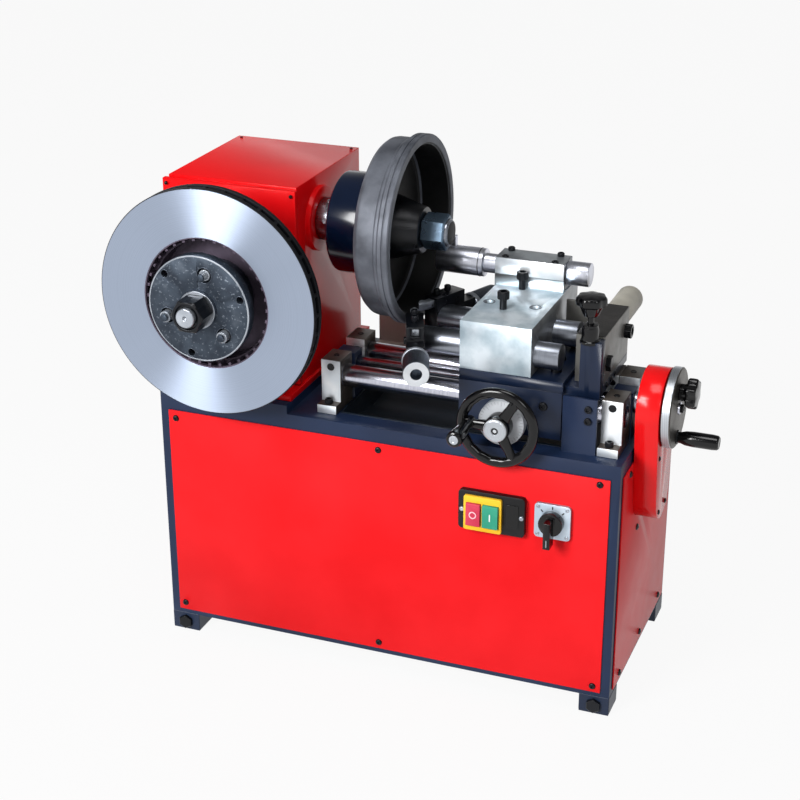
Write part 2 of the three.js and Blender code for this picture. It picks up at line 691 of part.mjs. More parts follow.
// A belt round two pulleys, one above the other, drawn in a plane and raised by its width
function beltLoop(belt, upper, upperRadius, lower, lowerRadius) {
  const innerUp = upperRadius - belt.sink;
  const innerDown = lowerRadius - belt.sink;
  const outside = loopOutline(upper, innerUp + belt.thickness, lower, innerDown + belt.thickness);
  const inside = loopOutline(upper, innerUp, lower, innerDown);
  const opening = raised(inside, belt.width + overrun * 2).translate(0, 0, -overrun);
  return cut(raised(outside, belt.width), opening);
}

function motorPulleyPiece() {
  const shaft = roundHole(motor.shaft, -pulleyRear, motor.seat - motorRear - clearance * 2, flats.medium);
  const rim = groovedPulley(motor.shaft / 2, motorPulley.radius, driveBelt, -pulleyRear, -pulleyFront);
  return join(shaft, rim).rotateX(quarterTurn).translate(discAxis.x, 0, motor.height);
}

function mainMotor() {
  const body = roundHole(motor.radius, motorFront, motorRear, flats.medium);
  const boreFront = motorRear - motor.seat;
  const bore = roundHole(motor.shaft + clearance, boreFront, motorRear + overrun, flats.medium);
  const half = motorFoot.width / 2;
  const footBottom = foot.height + cabinet.bar + clearance;
  const base = box(
    [discAxis.x - half, motorFront + motorFoot.margin, footBottom],
    [discAxis.x + half, motorRear - motorFoot.margin, motor.height - motor.radius / 2],
  );
  const boxMiddle = (motorFront + motorRear) / 2;
  const boxLeft = discAxis.x + motor.radius - motorBox.width / 2;
  const terminalBox = box(
    [boxLeft, boxMiddle - motorBox.length / 2, motor.height - motorBox.height / 2],
    [boxLeft + motorBox.width, boxMiddle + motorBox.length / 2, motor.height + motorBox.height / 2],
  );
  const line = [discAxis.x, 0, motor.height];
  return cut(join(alongY(line, body), base, terminalBox), alongY(line, bore));
}

function driveBeltPiece() {
  const loop = beltLoop(driveBelt, discZ, spindlePulley.radius, motor.height, motorPulley.radius);
  const front = (pulleyFront + pulleyRear + driveBelt.width) / 2;
  return facing(front, loop).translate(discAxis.x, 0, 0);
}

add("main_motor", "darkSteel", mainMotor());
add("motor_pulley", "castIron", motorPulleyPiece());
add("drive_belt", "rubber", driveBeltPiece());

// Drum side, drawn about its own axis
function drumSpindlePiece() {
  const gearFrom = discAxis.x - gear.length / 2;
  const end = drumNutLeft + drumNut.length + drumSpindle.noseLength;
  return stepped(headstock.wall + clearance, [
    [drumSpindle.journal, gearFrom],
    [gearRadius, gearFrom + gear.length],
    [drumSpindle.shaft, drumCollarLeft],
    [drumSpindle.collar, hubLeft - clearance],
    [drumSpindle.arbor, end - nose.chamfer],
    [drumSpindle.arbor - nose.chamfer, end],
  ], flats.medium);
}

const arborBore = drumSpindle.arbor + clearance;

function drumHubPiece() {
  const right = hubLeft + drumHub.length;
  return turned([
    [arborBore, hubLeft],
    [drumHub.radius - drumHub.chamfer, hubLeft],
    [drumHub.radius, hubLeft + drumHub.chamfer],
    [drumHub.radius, right],
    [arborBore, right],
    [arborBore, hubLeft],
  ], flats.medium);
}

function brakeDrumPiece() {
  const { radius, inner, back, corner, mouthChamfer } = brakeDrum;
  const lipLeft = drumMouth - drumLip.width;
  return turned([
    [arborBore, drumLeft],
    [radius - corner, drumLeft],
    [radius, drumLeft + corner],
    [radius, lipLeft],
    [drumLip.radius, lipLeft + drumLip.slope],
    [drumLip.radius, drumMouth],
    [inner + mouthChamfer, drumMouth],
    [inner, drumMouth - mouthChamfer],
    [inner, drumLeft + back],
    [arborBore, drumLeft + back],
    [arborBore, drumLeft],
  ], flats.fine);
}

function drumConePiece() {
  const right = coneLeft + drumCone.length;
  return turned([
    [arborBore, coneLeft],
    [drumCone.large, coneLeft],
    [drumCone.small, right],
    [arborBore, right],
    [arborBore, coneLeft],
  ], flats.medium);
}

function drumNutPiece() {
  const body = raised(hexagon(drumNut.flats), drumNut.length).translate(0, 0, drumNutLeft);
  const right = drumNutLeft + drumNut.length + overrun;
  return cut(body, roundHole(arborBore, drumNutLeft - overrun, right, flats.medium));
}

add("drum_spindle", "turnedSteel", drumSpindlePiece(), drumSide);
add("drum_hub", "navyPaint", drumHubPiece(), drumSide);
add("brake_drum", "castIron", brakeDrumPiece(), drumSide);
add("drum_cone", "darkSteel", drumConePiece(), drumSide);
add("drum_nut", "darkSteel", drumNutPiece(), drumSide);

// Bar supports: each has a foot towards the front or the rear, given by its side
function barSupport(left, barY, side) {
  const right = left + support.width;
  const bottom = cabinet.height + clearance;
  const half = support.depth / 2;
  const body = box([left, barY - half, bottom], [right, barY + half, cabinet.height + support.height]);
  const toe = barY + side * (half + support.footReach);
  const footTop = cabinet.height + support.footHeight;
  const base = box([left, Math.min(barY, toe), bottom], [right, Math.max(barY, toe), footTop]);
  const bore = roundHole(guideBar.radius + clearance, left - overrun, right + overrun, flats.medium);
  return cut(join(body, base), alongX([0, barY, barZ], bore));
}

const bars = [
  { place: "front", y: guideBar.front, side: -1 },
  { place: "rear", y: guideBar.rear, side: 1 },
];
for (const { place, y, side } of bars) {
  add(`left_${place}_support`, "aluminium", barSupport(bed.left, y, side));
  add(`right_${place}_support`, "aluminium", barSupport(bedRight, y, side));
  const bar = roundHole(guideBar.radius, bed.left, bedRight + support.width, flats.medium);
  add(`${place}_guide_bar`, "chrome", alongX([0, y, barZ], bar));
}

// Lead screw with its thrust collar, crank disc, grip and clutch knob
function leadScrewPiece() {
  const collarLeft = bedRight + support.width + clearance;
  const body = stepped(bed.left, [
    [leadScrew.radius, collarLeft],
    [leadScrew.collarRadius, collarLeft + leadScrew.collarLength],
    [leadScrew.radius, crankRight + leadScrew.noseLength],
  ], flats.small);
  const bore = leadScrew.radius / 2;
  return join(body, groovedPulley(bore, feed.pulley, feedBelt, feedPulleyLeft, feedPulleyRight));
}

function crankDiscPiece() {
  const bore = leadScrew.radius + clearance;
  const body = ring(bore, crankDisc.radius, crankLeft, crankRight, flats.fine);
  const pinFloor = crankRight - crankGrip.pinDepth - clearance;
  const pinBore = roundHole(crankGrip.pin + clearance, pinFloor, crankRight + overrun);
  const gripBore = pinBore.clone().translate(crankGrip.offset, 0, 0);
  return cut(body, gripBore, pinBore.clone().translate(-clutchKnob.offset, 0, 0));
}

function crankGripPiece() {
  const face = crankRight + clearance;
  const end = face + crankGrip.length;
  return stepped(crankRight - crankGrip.pinDepth, [
    [crankGrip.pin, face],
    [crankGrip.neck, face + crankGrip.neck],
    [crankGrip.radius, end],
  ], flats.small).translate(crankGrip.offset, 0, 0);
}

function clutchKnobPiece() {
  const face = crankRight + clearance;
  const { neck, neckLength, radius, thickness, offset } = clutchKnob;
  const stem = stepped(crankRight - crankGrip.pinDepth, [
    [crankGrip.pin, face],
    [neck, face + neckLength + thickness / 2],
  ], flats.small);
  const wave = (angle) => radius - (knobLobes.depth * (1 - Math.cos(knobLobes.count * angle))) / 2;
  const angles = Array.from({ length: flats.medium }, (unused, i) => (i * 2 * Math.PI) / flats.medium);
  const outline = angles.map((angle) => [wave(angle) * Math.cos(angle), wave(angle) * Math.sin(angle)]);
  const star = raised(outline, thickness).translate(0, 0, face + neckLength);
  return join(stem, star).translate(-offset, 0, 0);
}

add("lead_screw", "turnedSteel", leadScrewPiece(), crankSide);
add("crank_disc", "darkSteel", crankDiscPiece(), crankSide);
add("crank_grip", "blackPlastic", crankGripPiece(), crankSide);
add("clutch_knob", "blackPlastic", clutchKnobPiece(), crankSide);

// Feed drive inside the guard
function feedMotorPulleyPiece() {
  const shaftFrom = motorFaceX - feedMotor.seat + clearance;
  const shaft = roundHole(feedMotor.shaft, shaftFrom, feedPulleyRight);
  const bore = feedMotor.shaft / 2;
  const rim = groovedPulley(bore, feed.motorPulley, feedBelt, feedPulleyLeft, feedPulleyRight);
  return join(shaft, rim).translate(feed.drop, 0, 0);
}

function feedMotorPiece() {
  const half = feedMotor.flange / 2;
  const flangeLeft = motorFaceX - feedMotor.flangeThickness;
  const body = roundHole(feedMotor.radius, flangeLeft - feedMotor.length, motorFaceX, flats.medium);
  const plate = box([feed.drop - half, -half, flangeLeft], [feed.drop + half, half, motorFaceX]);
  const spigot = roundHole(feedMotor.boss, flangeLeft, bracketX + feedBracket.thickness);
  const bore = roundHole(feedMotor.shaft + clearance, motorFaceX - feedMotor.seat, feedPulleyLeft);
  const shifted = [body, spigot, bore].map((piece) => piece.translate(feed.drop, 0, 0));
  return cut(join(shifted[0], plate, shifted[1]), shifted[2]);
}

function feedBeltPiece() {
  const loop = beltLoop(feedBelt, 0, feed.pulley, -feed.drop, feed.motorPulley);
  const left = (feedPulleyLeft + feedPulleyRight - feedBelt.width) / 2;
  return loop.rotateZ(quarterTurn).translate(0, 0, left);
}

function beltGuard() {
  const { width, wall, topRadius, bottomRadius } = guard;
  const outline = loopOutline(0, topRadius, -feed.drop, bottomRadius);
  const inner = loopOutline(0, topRadius - wall, -feed.drop, bottomRadius - wall);
  const outside = raised(outline, width).rotateZ(quarterTurn).translate(0, 0, guardLeft);
  const hollow = raised(inner, width - wall + overrun).rotateZ(quarterTurn);
  const shaftHole = roundHole(guard.holeRadius, guardLeft, guardRight + overrun);
  return cut(outside, hollow.translate(0, 0, guardLeft - overrun), shaftHole);
}

add("feed_motor_pulley", "castIron", feedMotorPulleyPiece(), crankSide);
add("feed_motor", "darkSteel", feedMotorPiece(), crankSide);
add("feed_belt", "rubber", feedBeltPiece(), crankSide);
add("belt_guard", "redPaint", beltGuard(), crankSide);

// Saddle with its bracket, lock post and gear pocket
function saddleBracket() {
  const slideRight = saddleLeft + crossSlide.width + clearance;
  const under = box(
    [saddleRight - overlap, bracket.front, saddleTop - bracket.under],
    [bracketRight, saddleRear, saddleTop],
  );
  const upper = box(
    [slideRight, bracket.front, saddleTop - bracket.under],
    [bracketRight, saddleRear, saddleTop + bracket.thickness],
  );
  return join(under, upper);
}

function lockPost() {
  const left = postRight - post.width;
  const bottom = saddleTop - bracket.under;
  const top = saddleTop + bracket.thickness + post.height;
  const column = box([left, bracket.front, bottom], [postRight, bracket.front + post.depth, top]);
  const centre = [left + postBoss.radius, bracket.front + post.depth / 2];
  const bossTop = top + postBoss.height;
  const boss = roundHole(postBoss.radius, bottom, bossTop).translate(...centre, 0);
  const seat = roundHole(lockKnob.stem + clearance, bossTop - lockKnob.seat, bossTop + overrun);
  return cut(join(column, boss), seat.translate(...centre, 0));
}

function saddleCuts() {
  const left = saddleLeft - overrun;
  const right = saddleRight + overrun;
  const barBore = roundHole(guideBar.radius + clearance, left, right, flats.medium);
  const screwBore = roundHole(leadScrew.radius + clearance, left, right);
  const pocketFront = saddle.front + gearPocket.wall;
  const pocketRear = pocketFront + gearPocket.depth;
  const pocketHalf = gearPocket.width / 2;
  const crossBore = roundHole(crossScrew.radius + clearance, pocketFront, saddleRear + overrun);
  const shaftBore = roundHole(wheelShaft.radius + clearance, -overrun, pocketRear);
  const slotHalf = crossNut.width / 2 + clearance;
  const slotReach = crossNut.length / 2 + crossNut.travel;
  const slotBottom = crossScrewZ - crossNut.below - clearance;
  return [
    alongX([0, guideBar.front, barZ], barBore),
    alongX([0, guideBar.rear, barZ], barBore),
    alongX([0, screwY, screwZ], screwBore),
    alongY([saddleMiddle, 0, crossScrewZ], crossBore),
    alongY([saddleMiddle, 0, wheelZ], shaftBore),
    box(
      [saddleMiddle - pocketHalf, pocketFront, saddleBottom + gearPocket.floor],
      [saddleMiddle + pocketHalf, pocketRear, saddleTop + overrun],
    ),
    box(
      [saddleMiddle - slotHalf, screwY - slotReach, slotBottom],
      [saddleMiddle + slotHalf, screwY + slotReach, saddleTop + overrun],
    ),
  ];
}

function saddlePiece() {
  const body = box([saddleLeft, saddle.front, saddleBottom], [saddleRight, saddleRear, saddleTop]);
  const bossFront = clearance - wheelShaft.dialRear;
  const boss = roundHole(wheelBoss.radius, bossFront, saddle.front + overlap, flats.medium);
  const wheelLine = [saddleMiddle, 0, wheelZ];
  return cut(join(body, saddleBracket(), lockPost(), alongY(wheelLine, boss)), ...saddleCuts());
}

function lockKnobPiece() {
  const { stem, seat, stemLength, neck, radius, height } = lockKnob;
  const top = saddleTop + bracket.thickness + post.height + postBoss.height;
  const knobBottom = top + stemLength;
  const profile = [
    [0, top - seat + clearance],
    [stem, top - seat + clearance],
    [stem, knobBottom],
    [neck, knobBottom],
    [neck, knobBottom + height * lockKnobShares.neck],
    [radius, knobBottom + height * lockKnobShares.waist],
    [radius, knobBottom + height * lockKnobShares.shoulder],
    [radius * lockKnobShares.crown, knobBottom + height],
    [0, knobBottom + height],
  ];
  const x = postRight - post.width + postBoss.radius;
  return turned(profile, flats.small).translate(x, bracket.front + post.depth / 2, 0);
}

add("saddle", "navyPaint", saddlePiece());
add("lock_knob", "blackPlastic", lockKnobPiece());

// Holder block with its rear wing, and the rod on its back
function holderBlock() {
  const bottom = saddleTop + bracket.thickness + clearance;
  const body = box([holderLeft, holder.front, bottom], [bracketRight, saddleRear, holderTop]);
  const wing = box(
    [holderLeft - holderWing.reach, saddleRear - holderWing.thickness, slideTop + holderWing.bottomGap],
    [holderLeft + overlap, saddleRear, holderTop],
  );
  const boreFront = saddleRear - rearRod.spigotLength;
  const bore = roundHole(rearRod.spigot + clearance, boreFront, saddleRear + overrun);
  return cut(join(body, wing), alongY(rodCentre, bore));
}

function rearRodPiece() {
  const from = saddleRear - rearRod.spigotLength + clearance;
  const steps = [
    [rearRod.spigot, saddleRear + clearance],
    [rearRod.radius, saddleRear + rearRod.length],
  ];
  return alongY(rodCentre, stepped(from, steps, flats.medium));
}

add("holder_block", "greyAluminium", holderBlock());
add("rear_rod", "beigePlastic", rearRodPiece());

// Cross slide with its nut, the cross screw, and the handwheel's shaft, dial, wheel and grip
function crossSlidePiece() {
  const right = saddleLeft + crossSlide.width;
  const rear = saddle.front + crossSlide.depth;
  const plate = box([saddleLeft, saddle.front, slideBottom], [right, rear, slideTop]);
  const halfWidth = crossNut.width / 2;
  const halfLength = crossNut.length / 2;
  const nut = box(
    [saddleMiddle - halfWidth, screwY - halfLength, crossScrewZ - crossNut.below],
    [saddleMiddle + halfWidth, screwY + halfLength, slideTop - crossSlide.thickness / 2],
  );
  const bore = roundHole(crossScrew.radius + clearance, screwY - overrun * 2, screwY + overrun * 2);
  return cut(join(plate, nut), alongY([saddleMiddle, 0, crossScrewZ], bore));
}

const gearFront = saddle.front + gearPocket.wall + (gearPocket.depth - gearPocket.gearLength) / 2;

function crossScrewPiece() {
  const body = stepped(gearFront, [
    [screwGear.radius, gearFront + gearPocket.gearLength],
    [crossScrew.radius, saddleRear - crossScrew.rearMargin],
  ], flats.small);
  return alongY([saddleMiddle, 0, crossScrewZ], body);
}

function wheelShaftPiece() {
  const capRear = wheel.hubFront + clearance;
  return stepped(-gearFront - gearPocket.gearLength, [
    [shaftGear.radius, -gearFront],
    [wheelShaft.radius, wheelShaft.dialRear],
    [wheelShaft.dial, wheel.hubRear - clearance],
    [wheelShaft.nose, capRear],
    [wheelShaft.cap, capRear + wheelShaft.capLength],
  ], flats.medium);
}

const firstSpoke = THREE.MathUtils.degToRad(wheelSpoke.angle);
const gripPlace = [wheelGrip.circle * Math.cos(firstSpoke), wheelGrip.circle * Math.sin(firstSpoke), 0];

function handwheelPiece() {
  const { radius, rim, plane, hub, hubRear, hubFront } = wheel;
  const section = arc([radius - rim, plane], rim, 0, 2 * Math.PI, flats.small / 2);
  const tyre = turned(section, flats.medium);
  const middle = roundHole(hub, hubRear, hubFront, flats.medium);
  const bar = roundHole(wheelSpoke.radius, 0, radius - rim, flats.small / 2);
  const arm = bar.rotateY(quarterTurn).translate(0, 0, plane);
  const arms = Array.from({ length: wheelSpoke.count }, (unused, i) => {
    return arm.clone().rotateZ(firstSpoke + (i * 2 * Math.PI) / wheelSpoke.count);
  });
  const bossRear = plane - gripBoss.length / 2;
  const bossFront = plane + gripBoss.length / 2;
  const boss = roundHole(gripBoss.radius, bossRear, bossFront).translate(...gripPlace);
  const bore = roundHole(wheelShaft.nose + clearance, hubRear - overrun, hubFront + overrun);
  const pinBore = roundHole(wheelGrip.pin + clearance, bossFront - wheelGrip.pinDepth, bossFront + overrun);
  return cut(join(tyre, middle, ...arms, boss), bore, pinBore.translate(...gripPlace));
}

function wheelGripPiece() {
  const face = wheel.plane + gripBoss.length / 2 + clearance;
  const end = face + wheelGrip.length;
  const body = turned([
    [0, face - wheelGrip.pinDepth],
    [wheelGrip.pin, face - wheelGrip.pinDepth],
    [wheelGrip.pin, face],
    [wheelGrip.small, face],
    [wheelGrip.large, end],
    [0, end],
  ], flats.small);
  return body.translate(...gripPlace);
}

add("cross_slide", "navyPaint", crossSlidePiece());
add("cross_screw", "turnedSteel", crossScrewPiece());
add("wheel_shaft", "turnedSteel", wheelShaftPiece(), wheelSide);
add("handwheel", "blackPlastic", handwheelPiece(), wheelSide);
add("handwheel_grip", "blackPlastic", wheelGripPiece(), wheelSide);

// Tool block with its two cross bores
function toolBlockPiece() {
  const right = saddleLeft + toolBlock.width;
  const rear = toolBlock.front + toolBlock.depth;
  const body = box([saddleLeft, toolBlock.front, blockBottom], [right, rear, blockTop]);
  const boreRadius = toolBar.radius + clearance;
  const barBore = roundHole(boreRadius, saddleLeft - overrun, right + overrun, flats.medium);
  const bores = [toolBar.front, toolBar.rear].map((y) => alongX([0, y, toolBarZ], barBore));
  const spotHole = roundHole(blockHole.radius, blockTop - blockHole.depth, blockTop + overrun);
  const places = [saddleLeft + blockHole.leftInset, right - blockHole.rightInset];
  const spots = places.map((x) => spotHole.clone().translate(x, toolBlock.front + blockHole.place, 0));
  return cut(join(body, clampHalf(blockTop - overlap, clampSplit)), ...bores, ...spots);
}

add("tool_block", "aluminium", toolBlockPiece());

// The front head points outwards to the front and the rear head outwards to the rear
const heads = [
  { place: "front", side: -1, barY: toolBar.front },
  { place: "rear", side: 1, barY: toolBar.rear },
];

function headGroup({ side, barY }) {
  const outward = quarterTurn - THREE.MathUtils.degToRad(toolHead.lean);
  const position = [headX, barY - side * toolHead.inset, toolBarZ - toolHead.drop];
  return placedGroup(position, [0, 0, side * outward]);
}

function toolBarPiece(group, side, barY) {
  const bar = roundHole(toolBar.radius, headX, toolBarRight, flats.medium);
  const far = toolHead.length + toolBar.radius;
  const face = toolHead.width / 2 + clearance;
  const corners = side < 0 ? [-far, face] : [-face, far];
  const headSpace = box([-far, corners[0], -far], [far, corners[1], far]);
  group.updateMatrix();
  return cut(alongX([0, barY, toolBarZ], bar), headSpace.applyMatrix4(group.matrix));
}

function toolHeadPiece() {
  const half = toolHead.width / 2;
  const body = box([0, -half, -headHeight.below], [toolHead.length, half, headHeight.above]);
  const collarEnd = toolHead.length + headCollar.length;
  const collar = box([toolHead.length / 2, -half, -headCollar.half], [collarEnd, half, headCollar.half]);
  const slotHalf = toolBit.side / 2 + clearance;
  const slot = box(
    [-overrun, -slotHalf, toolBit.rise - slotHalf],
    [toolHead.length + overrun, slotHalf, toolBit.rise + slotHalf],
  );
  const stemFloor = collarEnd - headKnob.stemLength;
  const stemBore = roundHole(headKnob.stem + clearance, stemFloor, collarEnd + overrun);
  return cut(join(body, collar), slot, alongX([0, 0, 0], stemBore));
}

function toolKnobPiece() {
  const collarEnd = toolHead.length + headCollar.length;
  const face = collarEnd + clearance;
  const end = face + headKnob.length;
  const body = stepped(collarEnd - headKnob.stemLength + clearance, [
    [headKnob.stem, face],
    [headKnob.radius, end],
  ], flats.medium);
  return alongX([0, 0, 0], cut(body, roundHole(headKnob.bore, end - headKnob.boreDepth, end + overrun)));
}

function toolBitPiece() {
  const half = toolBit.side / 2;
  const outline = [
    [-toolBit.reach, 0],
    [-toolBit.reach + toolBit.taper, -half],
    [toolBit.length - toolBit.reach, -half],
    [toolBit.length - toolBit.reach, half],
    [-toolBit.reach + toolBit.taper, half],
  ];
  return raised(outline, toolBit.side).translate(0, 0, toolBit.rise - half);
}

for (const head of heads) {
  const group = headGroup(head);
  add(`${head.place}_tool_bar`, "chrome", toolBarPiece(group, head.side, head.barY));
  add(`${head.place}_tool_head`, "darkSteel", toolHeadPiece(), group);
  add(`${head.place}_tool_knob`, "darkSteel", toolKnobPiece(), group);
  add(`${head.place}_tool_bit`, "turnedSteel", toolBitPiece(), group);
}

// Boring bar between the halves of its clamp, whose lower half is part of the tool block
function clampHalf(bottom, top) {
  const right = clampLeft + barClamp.width;
  const body = box([clampLeft, barClamp.front, bottom], [right, barClamp.front + barClamp.depth, top]);
  const bore = roundHole(boringBar.neck + clearance, clampLeft - overrun, right + overrun, flats.medium);
  return cut(body, alongX([0, boringY, boringZ], bore));
}

function boringBarPiece() {
  const left = drumMouth + boringBar.mouthGap;
  const stopLeft = clampLeft + barClamp.width + clearance;
  const body = stepped(left, [
    [boringBar.head, left + boringBar.headLength],
    [boringBar.neck, stopLeft],
    [boringStop.radius, stopLeft + boringStop.length],
  ], flats.medium);
  const bitLeft = left + boringBit.inset;
  const half = boringBit.side / 2;
  const bit = box(
    [bitLeft, boringY - half, boringZ],
    [bitLeft + boringBit.side, boringY + half, boringZ + boringBit.height],
  );
  return join(alongX([0, boringY, boringZ], body), bit);
}

const capBottom = clampSplit + barClamp.split;
add("bar_clamp_cap", "aluminium", clampHalf(capBottom, capBottom + barClamp.cap));
add("boring_bar", "chrome", boringBarPiece());

// Switches: everything on the front panel is drawn as [x, z] and rises towards the front
const panelFront = -panelFace - clearance;
const plateFront = panelFront - switchPlate.thickness;

// A face on the front panel, or on a face that holds it, as a rectangle
function placedFace({ rightMargin, topMargin, width, height }) {
  const left = cabinet.width - rightMargin - width;
  return { left, bottom: cabinet.height - topMargin - height, width, height };
}

function heldFace(face, { leftInset, bottomInset, width, height }) {
  return { left: face.left + leftInset, bottom: face.bottom + bottomInset, width, height };
}

const plateFace = placedFace(switchPlate);
const bezelFace = heldFace(plateFace, bezel);
const buttonFaces = [stopButton, startButton].map((face) => heldFace(bezelFace, face));
const camFace = placedFace(camPlate);

function frontRectangle({ left, bottom, width, height }, corner, from, to) {
  return facing(from, raised(roundedRectangle(left, bottom, width, height, corner), from - to));
}

function switchPlatePiece() {
  const body = frontRectangle(plateFace, switchPlate.corner, panelFront, plateFront);
  const stemRear = plateFront + button.stemLength + button.travel;
  const stemBores = buttonFaces.map((face) => {
    const [x, z] = middleOf(face);
    return alongY([x, 0, z], roundHole(button.stem + clearance, plateFront - overrun, stemRear));
  });
  return cut(body, ...stemBores);
}

function middleOf({ left, bottom, width, height }) {
  return [left + width / 2, bottom + height / 2];
}

function bezelPiece() {
  const rear = plateFront - clearance;
  const front = rear - bezel.thickness;
  const body = frontRectangle(bezelFace, switchPlate.corner / 2, rear, front);
  const windows = buttonFaces.map((face) => {
    const [x, z] = middleOf(face);
    const halfWidth = face.width / 2 + bezel.windowGap;
    const halfHeight = face.height / 2 + bezel.windowGap;
    const from = [x - halfWidth, front - overrun, z - halfHeight];
    return box(from, [x + halfWidth, rear + overrun, z + halfHeight]);
  });
  return cut(body, ...windows);
}

function buttonPiece(face) {
  const { left, bottom, width, height } = face;
  const rear = plateFront - button.travel - clearance;
  const front = plateFront - bezel.thickness - button.proud;
  const [x, z] = middleOf(face);
  const cap = box([left, front, bottom], [left + width, rear, bottom + height]);
  const stem = roundHole(button.stem, rear - overlap, plateFront + button.stemLength - clearance);
  return join(cap, alongY([x, 0, z], stem));
}

function camPlatePiece() {
  const front = panelFront - camPlate.thickness;
  const body = frontRectangle(camFace, camPlate.corner, panelFront, front);
  const [x, z] = middleOf(camFace);
  const bore = roundHole(camStem.radius + clearance, front - overrun, front + camStem.length);
  return cut(body, alongY([x, 0, z], bore));
}

function camKnobPiece() {
  const [x, z] = middleOf(camFace);
  const rear = panelFront - camPlate.thickness - clearance;
  const front = rear - camKnob.thickness;
  const body = roundHole(camKnob.radius, front, rear, flats.medium);
  const stem = roundHole(camStem.radius, rear - overlap, rear + camStem.length);
  const half = camPointer.width / 2;
  const pointer = box(
    [x - half, front - camPointer.height, z - camPointer.down],
    [x + half, front + overlap, z + camPointer.up],
  );
  return join(alongY([x, 0, z], body), alongY([x, 0, z], stem), pointer);
}

add("switch_plate", "blackPlastic", switchPlatePiece());
add("switch_bezel", "yellowPlastic", bezelPiece());
const [stopFace, startFace] = buttonFaces;
add("stop_button", "redPlastic", buttonPiece(stopFace));
add("start_button", "greenPlastic", buttonPiece(startFace));
add("cam_switch_plate", "palePlate", camPlatePiece());
add("cam_switch_knob", "blackPlastic", camKnobPiece());

// The middle of the footprint on the floor becomes the origin
lathe.updateMatrixWorld(true);
const extent = new THREE.Box3().setFromObject(lathe, true);
const middle = extent.getCenter(new THREE.Vector3());
for (const child of lathe.children) child.position.sub(new THREE.Vector3(middle.x, middle.y, extent.min.z));

export default lathe;
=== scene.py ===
import math

import bpy
from mathutils import Matrix, Vector

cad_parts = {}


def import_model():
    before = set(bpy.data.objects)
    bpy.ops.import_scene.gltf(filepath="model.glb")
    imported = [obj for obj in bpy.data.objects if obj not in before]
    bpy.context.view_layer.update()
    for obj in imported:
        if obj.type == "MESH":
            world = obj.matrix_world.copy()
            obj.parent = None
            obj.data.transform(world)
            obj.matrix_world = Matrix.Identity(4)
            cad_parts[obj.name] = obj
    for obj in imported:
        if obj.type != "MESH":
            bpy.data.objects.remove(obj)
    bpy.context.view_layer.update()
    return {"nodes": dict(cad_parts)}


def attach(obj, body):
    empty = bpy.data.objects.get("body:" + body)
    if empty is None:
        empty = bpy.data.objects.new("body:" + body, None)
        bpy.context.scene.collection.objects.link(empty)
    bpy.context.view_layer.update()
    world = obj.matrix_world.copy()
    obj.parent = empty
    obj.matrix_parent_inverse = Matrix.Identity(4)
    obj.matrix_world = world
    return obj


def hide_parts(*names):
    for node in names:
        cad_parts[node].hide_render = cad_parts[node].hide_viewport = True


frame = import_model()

nodes = frame["nodes"]

# Places are in millimetres from the cabinet's front left corner on the floor, as in the part's source.
ORIGIN = Vector((349.5, 91.3, 0))
PER_METRE = 1000
TAU = 2 * math.pi
QUARTER = TAU / 4


def srgb(code):
    """A colour written as hexadecimal sRGB, in linear light."""
    values = [int(code[i:i + 2], 16) / 255 for i in (0, 2, 4)]
    return tuple(v / 12.92 if v <= 0.04045 else ((v + 0.055) / 1.055) ** 2.4 for v in values)


